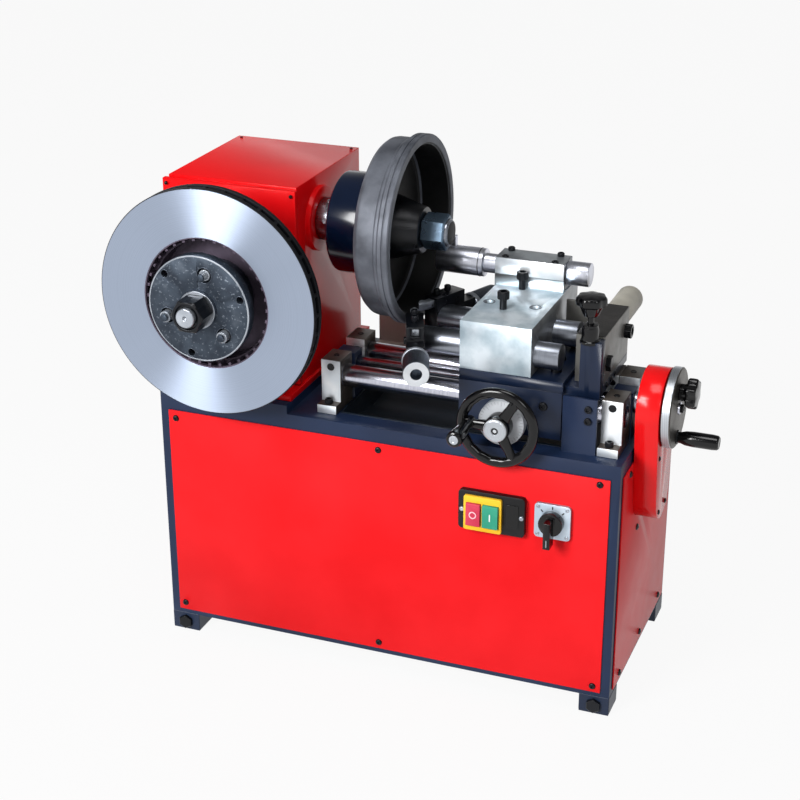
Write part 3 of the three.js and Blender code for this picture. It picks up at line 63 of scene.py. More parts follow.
# ---------------------------------------------------------------- materials
class Look:
    """A Principled material whose colour, roughness and bump come from its nodes."""

    def __init__(self, name, metallic=0.0, roughness=0.4, **constants):
        self.material = bpy.data.materials.new(name)
        self.material.use_nodes = True
        self.tree = self.material.node_tree
        self.shader = self.tree.nodes["Principled BSDF"]
        self.shader.inputs["Metallic"].default_value = metallic
        self.shader.inputs["Roughness"].default_value = roughness
        for socket, value in constants.items():
            self.shader.inputs[socket.replace("_", " ")].default_value = value
        self.height = None

    def node(self, kind, inputs=None, **settings):
        made = self.tree.nodes.new(kind)
        for name, value in settings.items():
            setattr(made, name, value)
        for name, value in (inputs or {}).items():
            if isinstance(value, bpy.types.NodeSocket):
                self.tree.links.new(value, made.inputs[name])
            else:
                made.inputs[name].default_value = value
        return made

    def place(self, stretch=(1, 1, 1)):
        """The object's own coordinates, in metres, stretched for grain that runs one way."""
        coordinates = self.node("ShaderNodeTexCoord").outputs["Object"]
        return self.node("ShaderNodeMapping", {"Vector": coordinates, "Scale": stretch}).outputs["Vector"]

    def radius(self, axis, centre):
        """The distance from an axis through a centre, in metres."""
        coordinates = self.node("ShaderNodeTexCoord").outputs["Object"]
        where = (Vector(centre) - ORIGIN) / PER_METRE
        away = self.node("ShaderNodeVectorMath", {0: coordinates, 1: where}, operation="SUBTRACT").outputs[0]
        mask = tuple(0.0 if letter == axis else 1.0 for letter in "xyz")
        flat = self.node("ShaderNodeVectorMath", {0: away, 1: mask}, operation="MULTIPLY").outputs[0]
        return self.node("ShaderNodeVectorMath", {0: flat}, operation="LENGTH").outputs["Value"]

    def noise(self, scale, detail=4.0, vector=None, distance=None):
        """Noise in space, or rings of it when a distance is given."""
        if distance is not None:
            inputs = {"W": distance, "Scale": scale, "Detail": detail}
            return self.node("ShaderNodeTexNoise", inputs, noise_dimensions="1D").outputs["Fac"]
        inputs = {"Scale": scale, "Detail": detail, "Vector": vector or self.place()}
        return self.node("ShaderNodeTexNoise", inputs).outputs["Fac"]

    def ramp(self, factor, stops):
        made = self.node("ShaderNodeValToRGB", {"Fac": factor})
        elements = made.color_ramp.elements
        while len(elements) < len(stops):
            elements.new(0.5)
        for element, (position, code) in zip(elements, stops):
            element.position = position
            element.color = (*srgb(code), 1)
        return made.outputs["Color"]

    def mottle(self, factor, dark, light, low=0.35, high=0.65):
        """A colour that wanders between a dark and a light one."""
        self.color(self.ramp(factor, [(low, dark), (high, light)]))

    def color(self, output):
        self.tree.links.new(output, self.shader.inputs["Base Color"])

    def mix(self, factor, first, second):
        made = self.node("ShaderNodeMix", data_type="RGBA")
        for socket, value in zip((0, 6, 7), (factor, first, second)):
            self.tree.links.new(value, made.inputs[socket])
        return made.outputs[2]

    def rough(self, factor, low, high):
        made = self.node("ShaderNodeMapRange", {"Value": factor, "To Min": low, "To Max": high})
        self.tree.links.new(made.outputs["Result"], self.shader.inputs["Roughness"])

    def bump(self, factor, strength, depth):
        inputs = {"Height": factor, "Strength": strength, "Distance": depth}
        if self.height is not None:
            inputs["Normal"] = self.height
        self.height = self.node("ShaderNodeBump", inputs).outputs["Normal"]
        self.tree.links.new(self.height, self.shader.inputs["Normal"])

    def along(self, letter):
        """1 on faces that look along an axis, 0 on the others: the mask for painted face light and shade."""
        normal = self.node("ShaderNodeTexCoord").outputs["Normal"]
        parts = self.node("ShaderNodeSeparateXYZ", {"Vector": normal})
        size = self.node("ShaderNodeMath", {0: parts.outputs[letter]}, operation="ABSOLUTE").outputs[0]
        inputs = {"Value": size, "From Min": 0.5, "From Max": 0.8}
        return self.node("ShaderNodeMapRange", inputs).outputs["Result"]


def paint(name, dark, light, roughness=0.3, coat=0.0, specular=0.3):
    """Sprayed paint with a slight orange peel."""
    look = Look(name, roughness=roughness, Coat_Weight=coat, Coat_Roughness=0.08,
                Specular_IOR_Level=specular)
    look.mottle(look.noise(7, 4), dark, light)
    look.rough(look.noise(30, 5), roughness - 0.04, roughness + 0.06)
    look.bump(look.noise(160, 2), 0.03, 0.0004)
    return look.material


def turned_metal(name, axis, centre, dark, light, roughness=0.25, rings=1400, depth=0.3):
    """Turned metal with fine rings about an axis."""
    look = Look(name, metallic=1.0, roughness=roughness)
    rings_noise = look.noise(rings, 3, distance=look.radius(axis, centre))
    look.mottle(rings_noise, dark, light, 0.3, 0.7)
    look.rough(look.noise(60, 4), roughness - 0.07, roughness + 0.1)
    look.bump(rings_noise, depth, 0.0002)
    return look.material


def grained(name, dark, light, stretch, roughness=0.2):
    """Ground metal whose grain is drawn out by a stretch along each axis."""
    look = Look(name, metallic=1.0, roughness=roughness)
    grain = look.noise(1, 4, look.place(stretch))
    look.mottle(grain, dark, light, 0.2, 0.8)
    look.rough(look.noise(50, 4), roughness - 0.04, roughness + 0.08)
    look.bump(grain, 0.01, 0.00005)
    return look.material


def plastic(name, dark, light, roughness=0.25, specular=0.35):
    """Moulded plastic with a faint grain."""
    look = Look(name, roughness=roughness, Specular_IOR_Level=specular)
    look.mottle(look.noise(25, 3), dark, light)
    look.rough(look.noise(90, 3), roughness - 0.04, roughness + 0.08)
    look.bump(look.noise(700, 2), 0.06, 0.0003)
    return look.material


def cast_metal(name, dark, light, roughness=0.5, metallic=0.7, scale=480):
    """Metal with clouded colour and a fine rough skin."""
    look = Look(name, metallic=metallic, roughness=roughness)
    look.mottle(look.noise(28, 8), dark, light)
    look.rough(look.noise(70, 5), roughness - 0.1, roughness + 0.12)
    look.bump(look.noise(scale, 6), 0.25, 0.0006)
    return look.material


def milled_painted_face_light(name, facing, others, letter="Y", stretch=(12, 700, 700), roughness=0.36):
    """Milled metal with painted light and shade: faces along one axis get one pair of colours and the other
    faces another, for how the light falls on them.
    """
    look = Look(name, metallic=0.6, roughness=roughness)
    clouds = look.noise(26, 8)
    along_axis = look.ramp(clouds, [(0.38, facing[0]), (0.62, facing[1])])
    elsewhere = look.ramp(clouds, [(0.38, others[0]), (0.62, others[1])])
    look.color(look.mix(look.along(letter), elsewhere, along_axis))
    look.rough(look.noise(55, 5), roughness - 0.08, roughness + 0.1)
    look.bump(look.noise(1, 3, look.place(stretch)), 0.1, 0.0002)
    return look.material


# Points on the axes of the turning pieces
DISC = (108, 0, 527)
DRUM = (0, 125, 595)
CRANK = (0, 98, 409)
WHEEL = (486, 0, 400)
BORING = (0, 191, 537)

# How far the grain is drawn out along X, Y and Z: across the bars' length, or even
BAR_GRAIN = (1500, 3, 3)
EVEN_GRAIN = (400, 400, 400)

# The headstock's and the guard's reds are darker copies of the panels' red paint: painted shade.
red = paint("red_paint", "e01a1f", "ec2328", 0.3, 0.0, 0.06)
red_gloss_painted_shade = paint("red_gloss_painted_shade", "d8060c", "e20c12", 0.2, 0.0, 0.14)
red_guard = paint("red_guard", "dc0c10", "e61418", 0.16, 0.0, 0.3)
navy = paint("navy_paint", "15223c", "1c2c49", 0.36, 0.0, 0.3)
navy_dark = paint("navy_dark", "0e192e", "15233d", 0.3, 0.0, 0.35)
navy_gloss = paint("navy_gloss", "020a18", "05122a", 0.16, 0.15, 0.4)
tray_paint = paint("tray_paint", "141c26", "1d2732", 0.34)
foot_paint = paint("foot_paint", "1a2438", "222e45", 0.4)
sheet_paint = paint("sheet_paint", "a39a92", "b3aaa2", 0.5)
drum_iron = cast_metal("drum_iron", "44474f", "666a73", 0.54, 0.45)
dark_iron = cast_metal("dark_iron", "020203", "060608", 0.6, 0.2)
hub_iron = cast_metal("hub_iron", "3b3440", "544a57", 0.6, 0.4)
black_steel = cast_metal("black_steel", "07080c", "10131a", 0.3, 0.4, 700)
grey_cast = cast_metal("grey_cast", "63625f", "7c7b77", 0.4, 0.5, 300)
# A near black cast metal, for painted shade on the holder block's top.
holder_top_shade = cast_metal("holder_top_shade", "1d1b1a", "2b2826", 0.45, 0.4, 300)
bright_steel = cast_metal("bright_steel", "a4aab4", "ccd2da", 0.3, 0.9, 900)
nut_steel = cast_metal("nut_steel", "48596b", "6b8094", 0.28, 0.8, 700)
stud_steel = cast_metal("stud_steel", "8f959e", "b5bbc3", 0.4, 0.7, 900)
chrome_x = grained("chrome_bar", "a9abb8", "dfe0ec", BAR_GRAIN, 0.2)
tool_steel_x = grained("tool_bar_steel", "8b909a", "a3a8b2", BAR_GRAIN, 0.3)
bar_steel_x = grained("boring_bar_steel", "c4c7d2", "e0e2ec", BAR_GRAIN, 0.3)
steel_y = turned_metal("turned_steel_front", "y", DISC, "8c929b", "b4b9c1", 0.3)
steel_x = turned_metal("turned_steel_side", "x", DRUM, "6b6f78", "a9adb6", 0.26)
crank_face = turned_metal("crank_steel", "x", CRANK, "4a4744", "6a6763", 0.42)
dial_steel = turned_metal("dial_steel", "y", WHEEL, "aab0b8", "d5d9de", 0.36)
knob_steel = grained("knob_steel", "454b55", "6c7480", EVEN_GRAIN, 0.38)
ring_steel = plastic("ring_steel", "b4b8bd", "cdd1d5", 0.4)
# Painted light and shade by face direction: the supports' and clamp's fronts near white and their other
# faces dark, the block's side faces darker, the plate's front lighter.
block_metal = milled_painted_face_light("block_metal", ("77787c", "9a9ea2"), ("b2c4ce", "e4eef5"), "X")
support_metal = milled_painted_face_light("support_metal", ("e6edf3", "fafcfe"), ("4d4742", "6b635c"))
clamp_metal = milled_painted_face_light("clamp_metal", ("e6edf3", "ffffff"), ("74787c", "9aa0a5"))
pale_plate = milled_painted_face_light("pale_plate", ("b9c9d8", "d3e0ec"), ("8b98a6", "a4b0bd"))
black_gloss = plastic("black_gloss", "020203", "060609", 0.12, 0.4)
black_matt = plastic("black_matt", "060608", "0d0d12", 0.4)
yellow = plastic("yellow_plastic", "efb81c", "f7cd38", 0.4)
red_button = plastic("red_plastic", "c4304c", "d6475f", 0.4)
green_button = plastic("green_plastic", "2d9478", "46ab8b", 0.4)
beige = plastic("beige_plastic", "a19d92", "bab6aa", 0.5)
rubber = plastic("rubber", "121213", "1e1e20", 0.85)
mark_white = plastic("mark_white", "e8eaea", "fbfbfb", 0.5)
mark_grey = plastic("mark_grey", "7c8186", "8e9398", 0.5)
mark_pink = plastic("mark_pink", "f2c3cb", "f8d9de", 0.5)


def brushed_disc():
    """A ground face whose fine circular marks spread the light into two opposite fans."""
    look = Look("disc_face", metallic=1.0, roughness=0.34, Anisotropic=0.9, Anisotropic_Rotation=0.25)
    rings = look.noise(1200, 2, distance=look.radius("y", DISC))
    look.mottle(rings, "a6b2c6", "b2bed2", 0.3, 0.7)
    look.rough(rings, 0.3, 0.38)
    tangent = look.node("ShaderNodeTangent", direction_type="RADIAL", axis="Y")
    look.tree.links.new(tangent.outputs[0], look.shader.inputs["Tangent"])
    return look.material


# The disc's colour changes between these radii, in metres.
RIM_FROM, RIM_TO = 0.096, 0.1


def rotor_iron():
    """Brownish cast iron inside the friction faces, and a nearly black rim."""
    look = Look("rotor_iron", metallic=0.4, roughness=0.55)
    inner = look.ramp(look.noise(28, 8), [(0.35, "463d4a"), (0.65, "64596a")])
    outer = look.ramp(look.noise(28, 8), [(0.35, "05060c"), (0.65, "0d0f18")])
    inputs = {"Value": look.radius("y", DISC), "From Min": RIM_FROM, "From Max": RIM_TO}
    look.color(look.mix(look.node("ShaderNodeMapRange", inputs).outputs["Result"], inner, outer))
    look.rough(look.noise(70, 5), 0.45, 0.65)
    look.bump(look.noise(480, 6), 0.25, 0.0006)
    return look.material


disc_face = brushed_disc()
rotor_metal = rotor_iron()


def scratched_steel():
    """Dark blued plate with bright specks and scuffs."""
    look = Look("adapter_steel", metallic=0.75, roughness=0.42)
    scuffs = look.ramp(look.noise(40, 12), [(0.4, "2e3540"), (0.6, "4a5460"), (0.78, "77808b")])
    specks = look.ramp(look.noise(300, 6), [(0.6, "353d48"), (0.7, "8b949f")])
    look.color(look.mix(look.noise(14, 5), scuffs, specks))
    look.rough(look.noise(80, 6), 0.4, 0.6)
    look.bump(look.noise(300, 5), 0.2, 0.0004)
    return look.material


adapter_steel = scratched_steel()


# ---------------------------------------------------------------- forms
def upward(x, y, z):
    """A place whose local Z points up. In the others it points where their name says."""
    return Matrix.Translation((x, y, z))


def frontward(x, y, z):
    """Local X stays and local Y points up."""
    return Matrix.Translation((x, y, z)) @ Matrix.Rotation(QUARTER, 4, "X")


def rightward(x, y, z):
    return Matrix.Translation((x, y, z)) @ Matrix.Rotation(QUARTER, 4, "Y")


def leftward(x, y, z):
    return Matrix.Translation((x, y, z)) @ Matrix.Rotation(-QUARTER, 4, "Y")


def rearward(x, y, z):
    return Matrix.Translation((x, y, z)) @ Matrix.Rotation(-QUARTER, 4, "X")


def hexagonal(angle):
    """Turns a round of radius 1 into a hexagon of inner radius 1."""
    sector = TAU / 6
    return 1 / math.cos((angle + sector / 2) % sector - sector / 2)


def lobed(count, depth):
    """Turns a round into one with lobes, whose hollows take a share of its radius."""
    return lambda angle: 1 - depth * (1 - math.cos(count * angle)) / 2


class Form:
    """A mesh in the making, in millimetres."""

    def __init__(self):
        self.points, self.faces = [], []

    def add(self, points, faces, place):
        start = len(self.points)
        self.points += [(place @ Vector(point) - ORIGIN) / PER_METRE for point in points]
        self.faces += [[start + i for i in face] for face in faces]
        return self

    def revolve(self, profile, place, steps=48, closed=False):
        """Turns a profile of (radius, height) or (radius, height, warp) about the local Z axis."""
        points, rings = [], []
        for radius, height, *warp in profile:
            if radius == 0:
                rings.append([len(points)])
                points.append((0, 0, height))
                continue
            rings.append(list(range(len(points), len(points) + steps)))
            for i in range(steps):
                angle = i * TAU / steps
                reach = radius * (warp[0](angle) if warp else 1)
                points.append((reach * math.cos(angle), reach * math.sin(angle), height))
        faces = []
        pairs = list(zip(rings, rings[1:])) + ([(rings[-1], rings[0])] if closed else [])
        for low, high in pairs:
            for i in range(steps):
                j = (i + 1) % steps
                if len(low) == 1 and len(high) == 1:
                    continue
                if len(low) == 1:
                    faces.append([low[0], high[j], high[i]])
                elif len(high) == 1:
                    faces.append([low[i], low[j], high[0]])
                else:
                    faces.append([low[i], low[j], high[j], high[i]])
        return self.add(points, faces, place)

    def prism(self, outline, low, high, place):
        count = len(outline)
        points = [(x, y, z) for z in (low, high) for x, y in outline]
        faces = [list(range(count))[::-1], list(range(count, 2 * count))]
        faces += [[i, (i + 1) % count, count + (i + 1) % count, count + i] for i in range(count)]
        return self.add(points, faces, place)

    def block(self, low, high):
        (x0, y0, z0), (x1, y1, z1) = low, high
        return self.prism([(x0, y0), (x1, y0), (x1, y1), (x0, y1)], z0, z1, Matrix.Identity(4))

    def socket_screw(self, place, radius=4.0, height=4.0, socket=0.55):
        """A round screw head with a hexagonal socket in it."""
        inner = radius * socket
        return self.revolve([
            (0, -1), (radius, -1), (radius, height - 0.5), (radius - 0.6, height),
            (inner, height, hexagonal), (inner, height * 0.45, hexagonal), (0, height * 0.4),
        ], place, 24)

    def cap_screw(self, place, radius, head, shank, length):
        """A socket screw that stands on its shank, with a knurled head."""
        knurl = lobed(24, 0.06)
        return self.revolve([
            (0, -length), (shank, -length), (shank, 0), (radius, 0, knurl), (radius, head - 1, knurl),
            (radius - 1, head), (radius * 0.55, head, hexagonal), (radius * 0.55, head / 2, hexagonal),
            (0, head / 2 - 1),
        ], place, 48)

    def pan_screw(self, place, radius=4.2, height=2.2):
        """A low domed screw head with a small recess."""
        return self.revolve([
            (0, -1), (radius, -1), (radius, 0.3), (radius * 0.85, height * 0.7), (radius * 0.5, height),
            (radius * 0.3, height), (radius * 0.25, height * 0.3), (0, height * 0.3),
        ], place, 20)


def rounded(left, bottom, width, height, corner, steps=6):
    """The outline of a rectangle with rounded corners."""
    centres = [(left + width - corner, bottom + corner), (left + width - corner, bottom + height - corner),
               (left + corner, bottom + height - corner), (left + corner, bottom + corner)]
    outline = []
    for i, (x, y) in enumerate(centres):
        for k in range(steps + 1):
            angle = (i - 1 + k / steps) * TAU / 4
            outline.append((x + corner * math.cos(angle), y + corner * math.sin(angle)))
    return outline


WELD = 1e-6


def soften(obj, width, angle=30.0, segments=2):
    """Rounds the edges that are sharper than an angle, by a width in millimetres."""
    for polygon in obj.data.polygons:
        polygon.use_smooth = True
    weld = obj.modifiers.new("weld", "WELD")
    weld.merge_threshold = WELD
    bevel = obj.modifiers.new("edges", "BEVEL")
    bevel.width = width / PER_METRE
    bevel.segments = segments
    bevel.limit_method = "ANGLE"
    bevel.angle_limit = math.radians(angle)
    bevel.harden_normals = True


def piece(name, form, material, body, stands_for=(), edge=0.4, angle=30.0):
    """A mesh that moves with a body, and that may stand for CAD nodes."""
    mesh = bpy.data.meshes.new(name)
    mesh.from_pydata([tuple(point) for point in form.points], [], form.faces)
    mesh.validate()
    obj = bpy.data.objects.new(name, mesh)
    bpy.context.scene.collection.objects.link(obj)
    mesh.materials.append(material)
    soften(obj, edge, angle)
    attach(obj, body)
    if stands_for:
        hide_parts(*stands_for)
    return obj


def dress(name, material, edge=0.6, angle=35.0):
    """A CAD node keeps its shape, and gets softened edges and a finish."""
    obj = nodes[name]
    obj.data.materials.clear()
    obj.data.materials.append(material)
    soften(obj, edge, angle)


# ---------------------------------------------------------------- CAD nodes that keep their shape
DRESSED = [
    ("cabinet_frame", navy, 1.2), ("front_panel", red, 0.5), ("left_rear_panel", red, 0.5),
    ("right_panel", red, 0.5), ("chip_tray", tray_paint, 0.4), ("splash_plate", sheet_paint, 0.5),
    ("headstock_housing", red_gloss_painted_shade, 1.5), ("headstock_cover", red_gloss_painted_shade, 1.0),
    ("disc_spindle", steel_y, 0.5), ("disc_adapter", adapter_steel, 0.7), ("main_motor", black_steel, 1.5),
    ("motor_pulley", hub_iron, 0.5), ("drive_belt", rubber, 0.5), ("drum_spindle", steel_x, 0.8),
    ("left_front_support", support_metal, 0.9), ("right_front_support", support_metal, 0.9),
    ("left_rear_support", support_metal, 0.9), ("right_rear_support", support_metal, 0.9),
    ("front_guide_bar", chrome_x, 1.0), ("rear_guide_bar", chrome_x, 1.0), ("lead_screw", chrome_x, 0.4),
    ("feed_motor_pulley", hub_iron, 0.4), ("feed_motor", black_steel, 0.8), ("feed_belt", rubber, 0.3),
    ("belt_guard", red_guard, 1.6), ("saddle", navy_dark, 1.0), ("holder_block", grey_cast, 0.9),
    ("cross_slide", navy_dark, 0.9), ("cross_screw", bright_steel, 0.4), ("wheel_shaft", ring_steel, 0.6),
    ("tool_block", block_metal, 0.8), ("bar_clamp_cap", clamp_metal, 0.8), ("boring_bar", bar_steel_x, 1.0),
    ("front_tool_bar", tool_steel_x, 1.0), ("rear_tool_bar", tool_steel_x, 1.0),
    ("front_tool_head", black_steel, 0.7), ("rear_tool_head", black_steel, 0.7),
    ("front_tool_bit", bright_steel, 0.4), ("rear_tool_bit", bright_steel, 0.4),
    ("switch_plate", black_matt, 0.8), ("switch_bezel", yellow, 0.6), ("stop_button", red_button, 0.6),
    ("start_button", green_button, 0.6), ("cam_switch_plate", pale_plate, 0.6),
    ("cam_switch_knob", black_gloss, 1.2),
]
for node_name, look, edge in DRESSED:
    dress(node_name, look, edge)

# ---------------------------------------------------------------- brake disc and its adapter
disc_place = frontward(*DISC)
piece("disc_rotor", Form().revolve([
    (33, 10), (84, 10), (84, 38), (150.4, 38), (150.4, 45), (141, 45), (141, 53), (150.4, 53),
    (150.4, 60), (85.6, 60), (85.6, 53), (90, 53), (90, 45), (80, 45), (80, 18), (33, 18),
], disc_place, 144, closed=True), rotor_metal, "disc_side", ["brake_disc"], 0.5)
piece("disc_friction_face", Form().revolve([
    (87.2, 59.5), (149.3, 59.5), (149.3, 60.3), (87.2, 60.3),
], disc_place, 144, closed=True), disc_face, "disc_side", (), 0.1)
piece("disc_rear_face", Form().revolve([
    (90, 37.7), (149.3, 37.7), (149.3, 38.4), (90, 38.4),
], disc_place, 96, closed=True), disc_face, "disc_side", (), 0.1)

VANES = 36
vanes = Form()
for i in range(VANES):
    turn = disc_place @ Matrix.Rotation(i * TAU / VANES, 4, "Z")
    vanes.prism([(138, -2), (149.6, -2.4), (149.6, 2.4), (138, 2)], 44.5, 53.5, turn)
    vanes.prism([(82, -2.2), (93, -1.6), (93, 1.6), (82, 2.2)], 44.5, 57.5, turn)
piece("disc_vanes", vanes, rotor_metal, "disc_side", (), 0.4)

piece("adapter_edge", Form().revolve([
    (68.2, 79.2), (70.15, 79.2), (70.15, 79.6), (69.5, 80.25), (68.2, 80.25),
], disc_place, 96, closed=True), stud_steel, "disc_side", (), 0.15)

# The adapter's studs and holes stand on circles, evenly apart. The first stud's collar is low.
STUDS, STUD_CIRCLE, STUD_START = 3, 46.5, 77.5
HOLE_CIRCLE, HOLE_START = 61.5, 18
COLLAR_LOW, COLLAR_HIGH = 80, 88
THREAD_ROOT, THREAD_CREST, THREAD_FROM, HALF_PITCH, THREAD_STEPS = 4.9, 5.3, 72, 0.8, 22


def on_circle(place, circle, degrees):
    """A place beside another, at a radius and an angle about its local Z."""
    angle = math.radians(degrees)
    return place @ upward(circle * math.cos(angle), circle * math.sin(angle), 0)


studs, rims = Form(), Form()
for i in range(STUDS):
    stud_turn = i * 360 / STUDS
    stud_place = on_circle(disc_place, STUD_CIRCLE, STUD_START + stud_turn)
    thread = [(THREAD_ROOT if k % 2 else THREAD_CREST, THREAD_FROM + k * HALF_PITCH)
              for k in range(THREAD_STEPS)]
    studs.revolve([(0, 71), *thread, (4.6, 91), (3.6, 91.6), (3.2, 90.8), (0, 90.6)], stud_place, 24)
    collar_top = COLLAR_HIGH if i else COLLAR_LOW
    studs.revolve([(5.5, 72), (7.3, 72), (7.4, collar_top - 0.8), (6.6, collar_top), (5.5, collar_top)],
                  stud_place, 32, closed=True)
    rims.revolve([(9.9, 79.6), (10.7, 79.6), (10.7, 80.2), (10.1, 80.3), (9.9, 80.2)],
                 stud_place, 32, closed=True)
    hole_place = on_circle(disc_place, HOLE_CIRCLE, HOLE_START + stud_turn)
    rims.revolve([(4.9, 79.7), (5.6, 79.7), (5.6, 80.2), (5.1, 80.3), (4.9, 80.2)],
                 hole_place, 24, closed=True)
piece("adapter_studs", studs, stud_steel, "disc_side", (), 0.15)
piece("adapter_hole_rims", rims, knob_steel, "disc_side", (), 0.1)

piece("spindle_nut", Form().revolve([
    (12.8, 85.3), (18.5, 85.3, hexagonal), (20, 86.4, hexagonal), (20, 111.8, hexagonal),
    (19.4, 113.7), (16.6, 113.7), (15.8, 112.6), (15.6, 109.6), (12.8, 109.6),
], disc_place @ Matrix.Rotation(TAU / 12, 4, "Z"), 96, closed=True), black_steel, "disc_side",
    ["disc_nut"], 0.5, 25)
piece("spindle_washer", Form().revolve([
    (12.8, 80.3), (24.6, 80.3), (25, 80.8), (25, 84.8), (24.4, 85.4), (12.8, 85.4),
], disc_place, 72, closed=True), steel_y, "disc_side", (), 0.3)
piece("spindle_nose", Form().revolve([
    (12.6, 111.6), (12.6, 116.6), (11.4, 117.9), (3.4, 117.9), (2.8, 117), (0, 112.7),
], disc_place, 48), stud_steel, "disc_side", (), 0.2)

# ---------------------------------------------------------------- drum side
drum_place = rightward(*DRUM)
piece("drum_shell", Form().revolve([
    (18.3, 276.3), (96, 276.3), (105, 277.2), (112, 280.5), (116, 285.5), (117, 290), (117, 308),
    (118.2, 310.2), (118.2, 313.6), (121.4, 315.2), (123.6, 316.8), (123.6, 321.6), (122.4, 322.3),
    (122.4, 323.3), (123.7, 324), (123.7, 329), (122.6, 330.5), (113.5, 330.5), (110.6, 327.8),
    (110.5, 290), (106, 284.6), (96, 283.3), (18.3, 283.3),
], drum_place, 144, closed=True), drum_iron, "drum_side", ["brake_drum"], 0.35, 22)
# A near black skin over the drum's inner wall and floor: painted shade in its hollow.
piece("drum_inside_shade", Form().revolve([
    (112.8, 329.9), (110.2, 327.4), (110.2, 289), (105.6, 284.9), (96, 283.6), (46, 283.6),
    (46, 282.6), (111.5, 282.6),
], drum_place, 144, closed=True), dark_iron, "drum_side", (), 0.3)
piece("hub_body", Form().revolve([
    (18.3, 220.3), (57, 220.3), (63, 221.2), (66, 223.4), (67, 226.5), (67, 275.2), (66.2, 276),
    (18.3, 276),
], drum_place, 120, closed=True), navy_gloss, "drum_side", ["drum_hub"], 0.4, 35)
piece("cone_body", Form().revolve([
    (18.3, 283.6), (44, 283.6), (45, 285), (30.5, 333.5), (29.5, 335), (18.3, 335),
], drum_place, 96, closed=True), black_steel, "drum_side", ["drum_cone"], 0.6)
piece("arbor_nut", Form().revolve([
    (18.3, 335.3), (19.5, 335.3, hexagonal), (21, 336.8, hexagonal), (21, 365.2, hexagonal),
    (19.8, 367, hexagonal), (18.3, 367),
], drum_place @ Matrix.Rotation(math.radians(14), 4, "Z"), 96, closed=True),
    nut_steel, "drum_side", ["drum_nut"], 0.5, 25)
piece("arbor_end", Form().revolve([
    (0, 370.8), (15.4, 370.8), (15.4, 371.2), (15, 371.4), (0, 371.4),
], drum_place, 64), dark_iron, "drum_side", (), 0.1)
COLLAR_SCREWS, COLLAR_TURN, COLLAR_SCREW_X, COLLAR_RADIUS = 6, 0.3, 205, 27.6
collar = Form()
for i in range(COLLAR_SCREWS):
    turn = drum_place @ Matrix.Rotation(i * TAU / COLLAR_SCREWS + COLLAR_TURN, 4, "Z")
    collar.socket_screw(turn @ upward(0, 0, COLLAR_SCREW_X) @ rightward(COLLAR_RADIUS, 0, 0), 4.2, 2.2)
collar.revolve([(28.6, 214), (30.4, 214.6), (30.4, 218.6), (28.6, 219.2)], drum_place, 72, closed=True)
piece("collar_screws", collar, bright_steel, "drum_side", (), 0.25)

# ---------------------------------------------------------------- feet, cabinet and headstock fittings
FOOT_FROM, FOOT_TO, FOOT_LOW, FOOT_HIGH = 0.4, 41.6, 1, 27
feet = Form()
for x in (-1, 599):
    for y in (-1, 257):
        feet.block((x + FOOT_FROM, y + FOOT_FROM, FOOT_LOW), (x + FOOT_TO, y + FOOT_TO, FOOT_HIGH))
piece("foot_caps", feet, foot_paint, "cabinet", (), 1.5)
bolts = Form()
for x in (20, 620):
    bolts.revolve([(0, -1.6), (9, -1.6, hexagonal), (9, 4, hexagonal), (8, 5, hexagonal), (0, 5)],
                  frontward(x, -1, 13), 24)
piece("foot_bolts", bolts, black_steel, "cabinet", (), 0.4)

PANEL_FRONT, PANEL_LEFT, PANEL_RIGHT, PANEL_REAR = -2.3, -2.3, 642.3, 300.3
PANEL_SCREW = {"radius": 4.6, "height": 2.6}
screws = Form()
for x, z in ((23, 331), (21.7, 44.5), (318, 332.8), (317, 43.3), (614.8, 334.7), (617.3, 42.4)):
    screws.pan_screw(frontward(x, PANEL_FRONT, z), **PANEL_SCREW)
for y, z in ((42, 334), (40, 44), (256, 334), (256, 46), (148, 46), (148, 334), (95, 234)):
    screws.pan_screw(rightward(PANEL_RIGHT, y, z), **PANEL_SCREW)
for x, z in ((40, 334), (40, 46), (320, 334), (320, 46), (600, 334), (600, 46)):
    screws.pan_screw(rearward(x, PANEL_REAR, z), **PANEL_SCREW)
for y, z in ((40, 334), (40, 46), (256, 334), (256, 46)):
    screws.pan_screw(leftward(PANEL_LEFT, y, z), **PANEL_SCREW)
piece("panel_screws", screws, black_steel, "cabinet", (), 0.3)

COVER_FRONT, HEAD_TOP, BASE_TOP = 46.3, 654.2, 382.3
head_screws = Form()
for x, z in ((1, 645), (180.5, 645), (1, 390), (180.5, 390)):
    head_screws.pan_screw(frontward(x, COVER_FRONT, z), 2.4, 1.4)
for x, y in ((8, 258), (176, 258)):
    head_screws.pan_screw(upward(x, y, HEAD_TOP), 2.4, 1.2)
for x in (30, 92, 154):
    head_screws.socket_screw(upward(x, 282, BASE_TOP), 5, 4.5)
for y in (30, 42):
    head_screws.socket_screw(upward(172, y, BASE_TOP), 4, 3.5)
piece("headstock_screws", head_screws, black_steel, "cabinet", (), 0.35)

SUPPORT_XS, SUPPORT_TOP, LUG_TOP, WIDE_SOCKET = (236.5, 616.5), 432, 374.5, 0.7
LUG_SCREW = {"radius": 5.4, "head": 6.5, "shank": 3, "length": 2}
rail_bolts = Form()
for z in (424, 408):
    rail_bolts.socket_screw(frontward(590, 20, z), 4.6, 4)
for x in SUPPORT_XS:
    for y in (56, 140):
        rail_bolts.socket_screw(upward(x, y, SUPPORT_TOP), 4.2, 0.8, WIDE_SOCKET)
for x in SUPPORT_XS:
    rail_bolts.socket_screw(frontward(x, 36, 422.5), 5.2, 0.6, WIDE_SOCKET)
    for y in (28, 168):
        rail_bolts.cap_screw(upward(x, y, LUG_TOP), **LUG_SCREW)
piece("support_screws", rail_bolts, black_steel, "cabinet", (), 0.3)

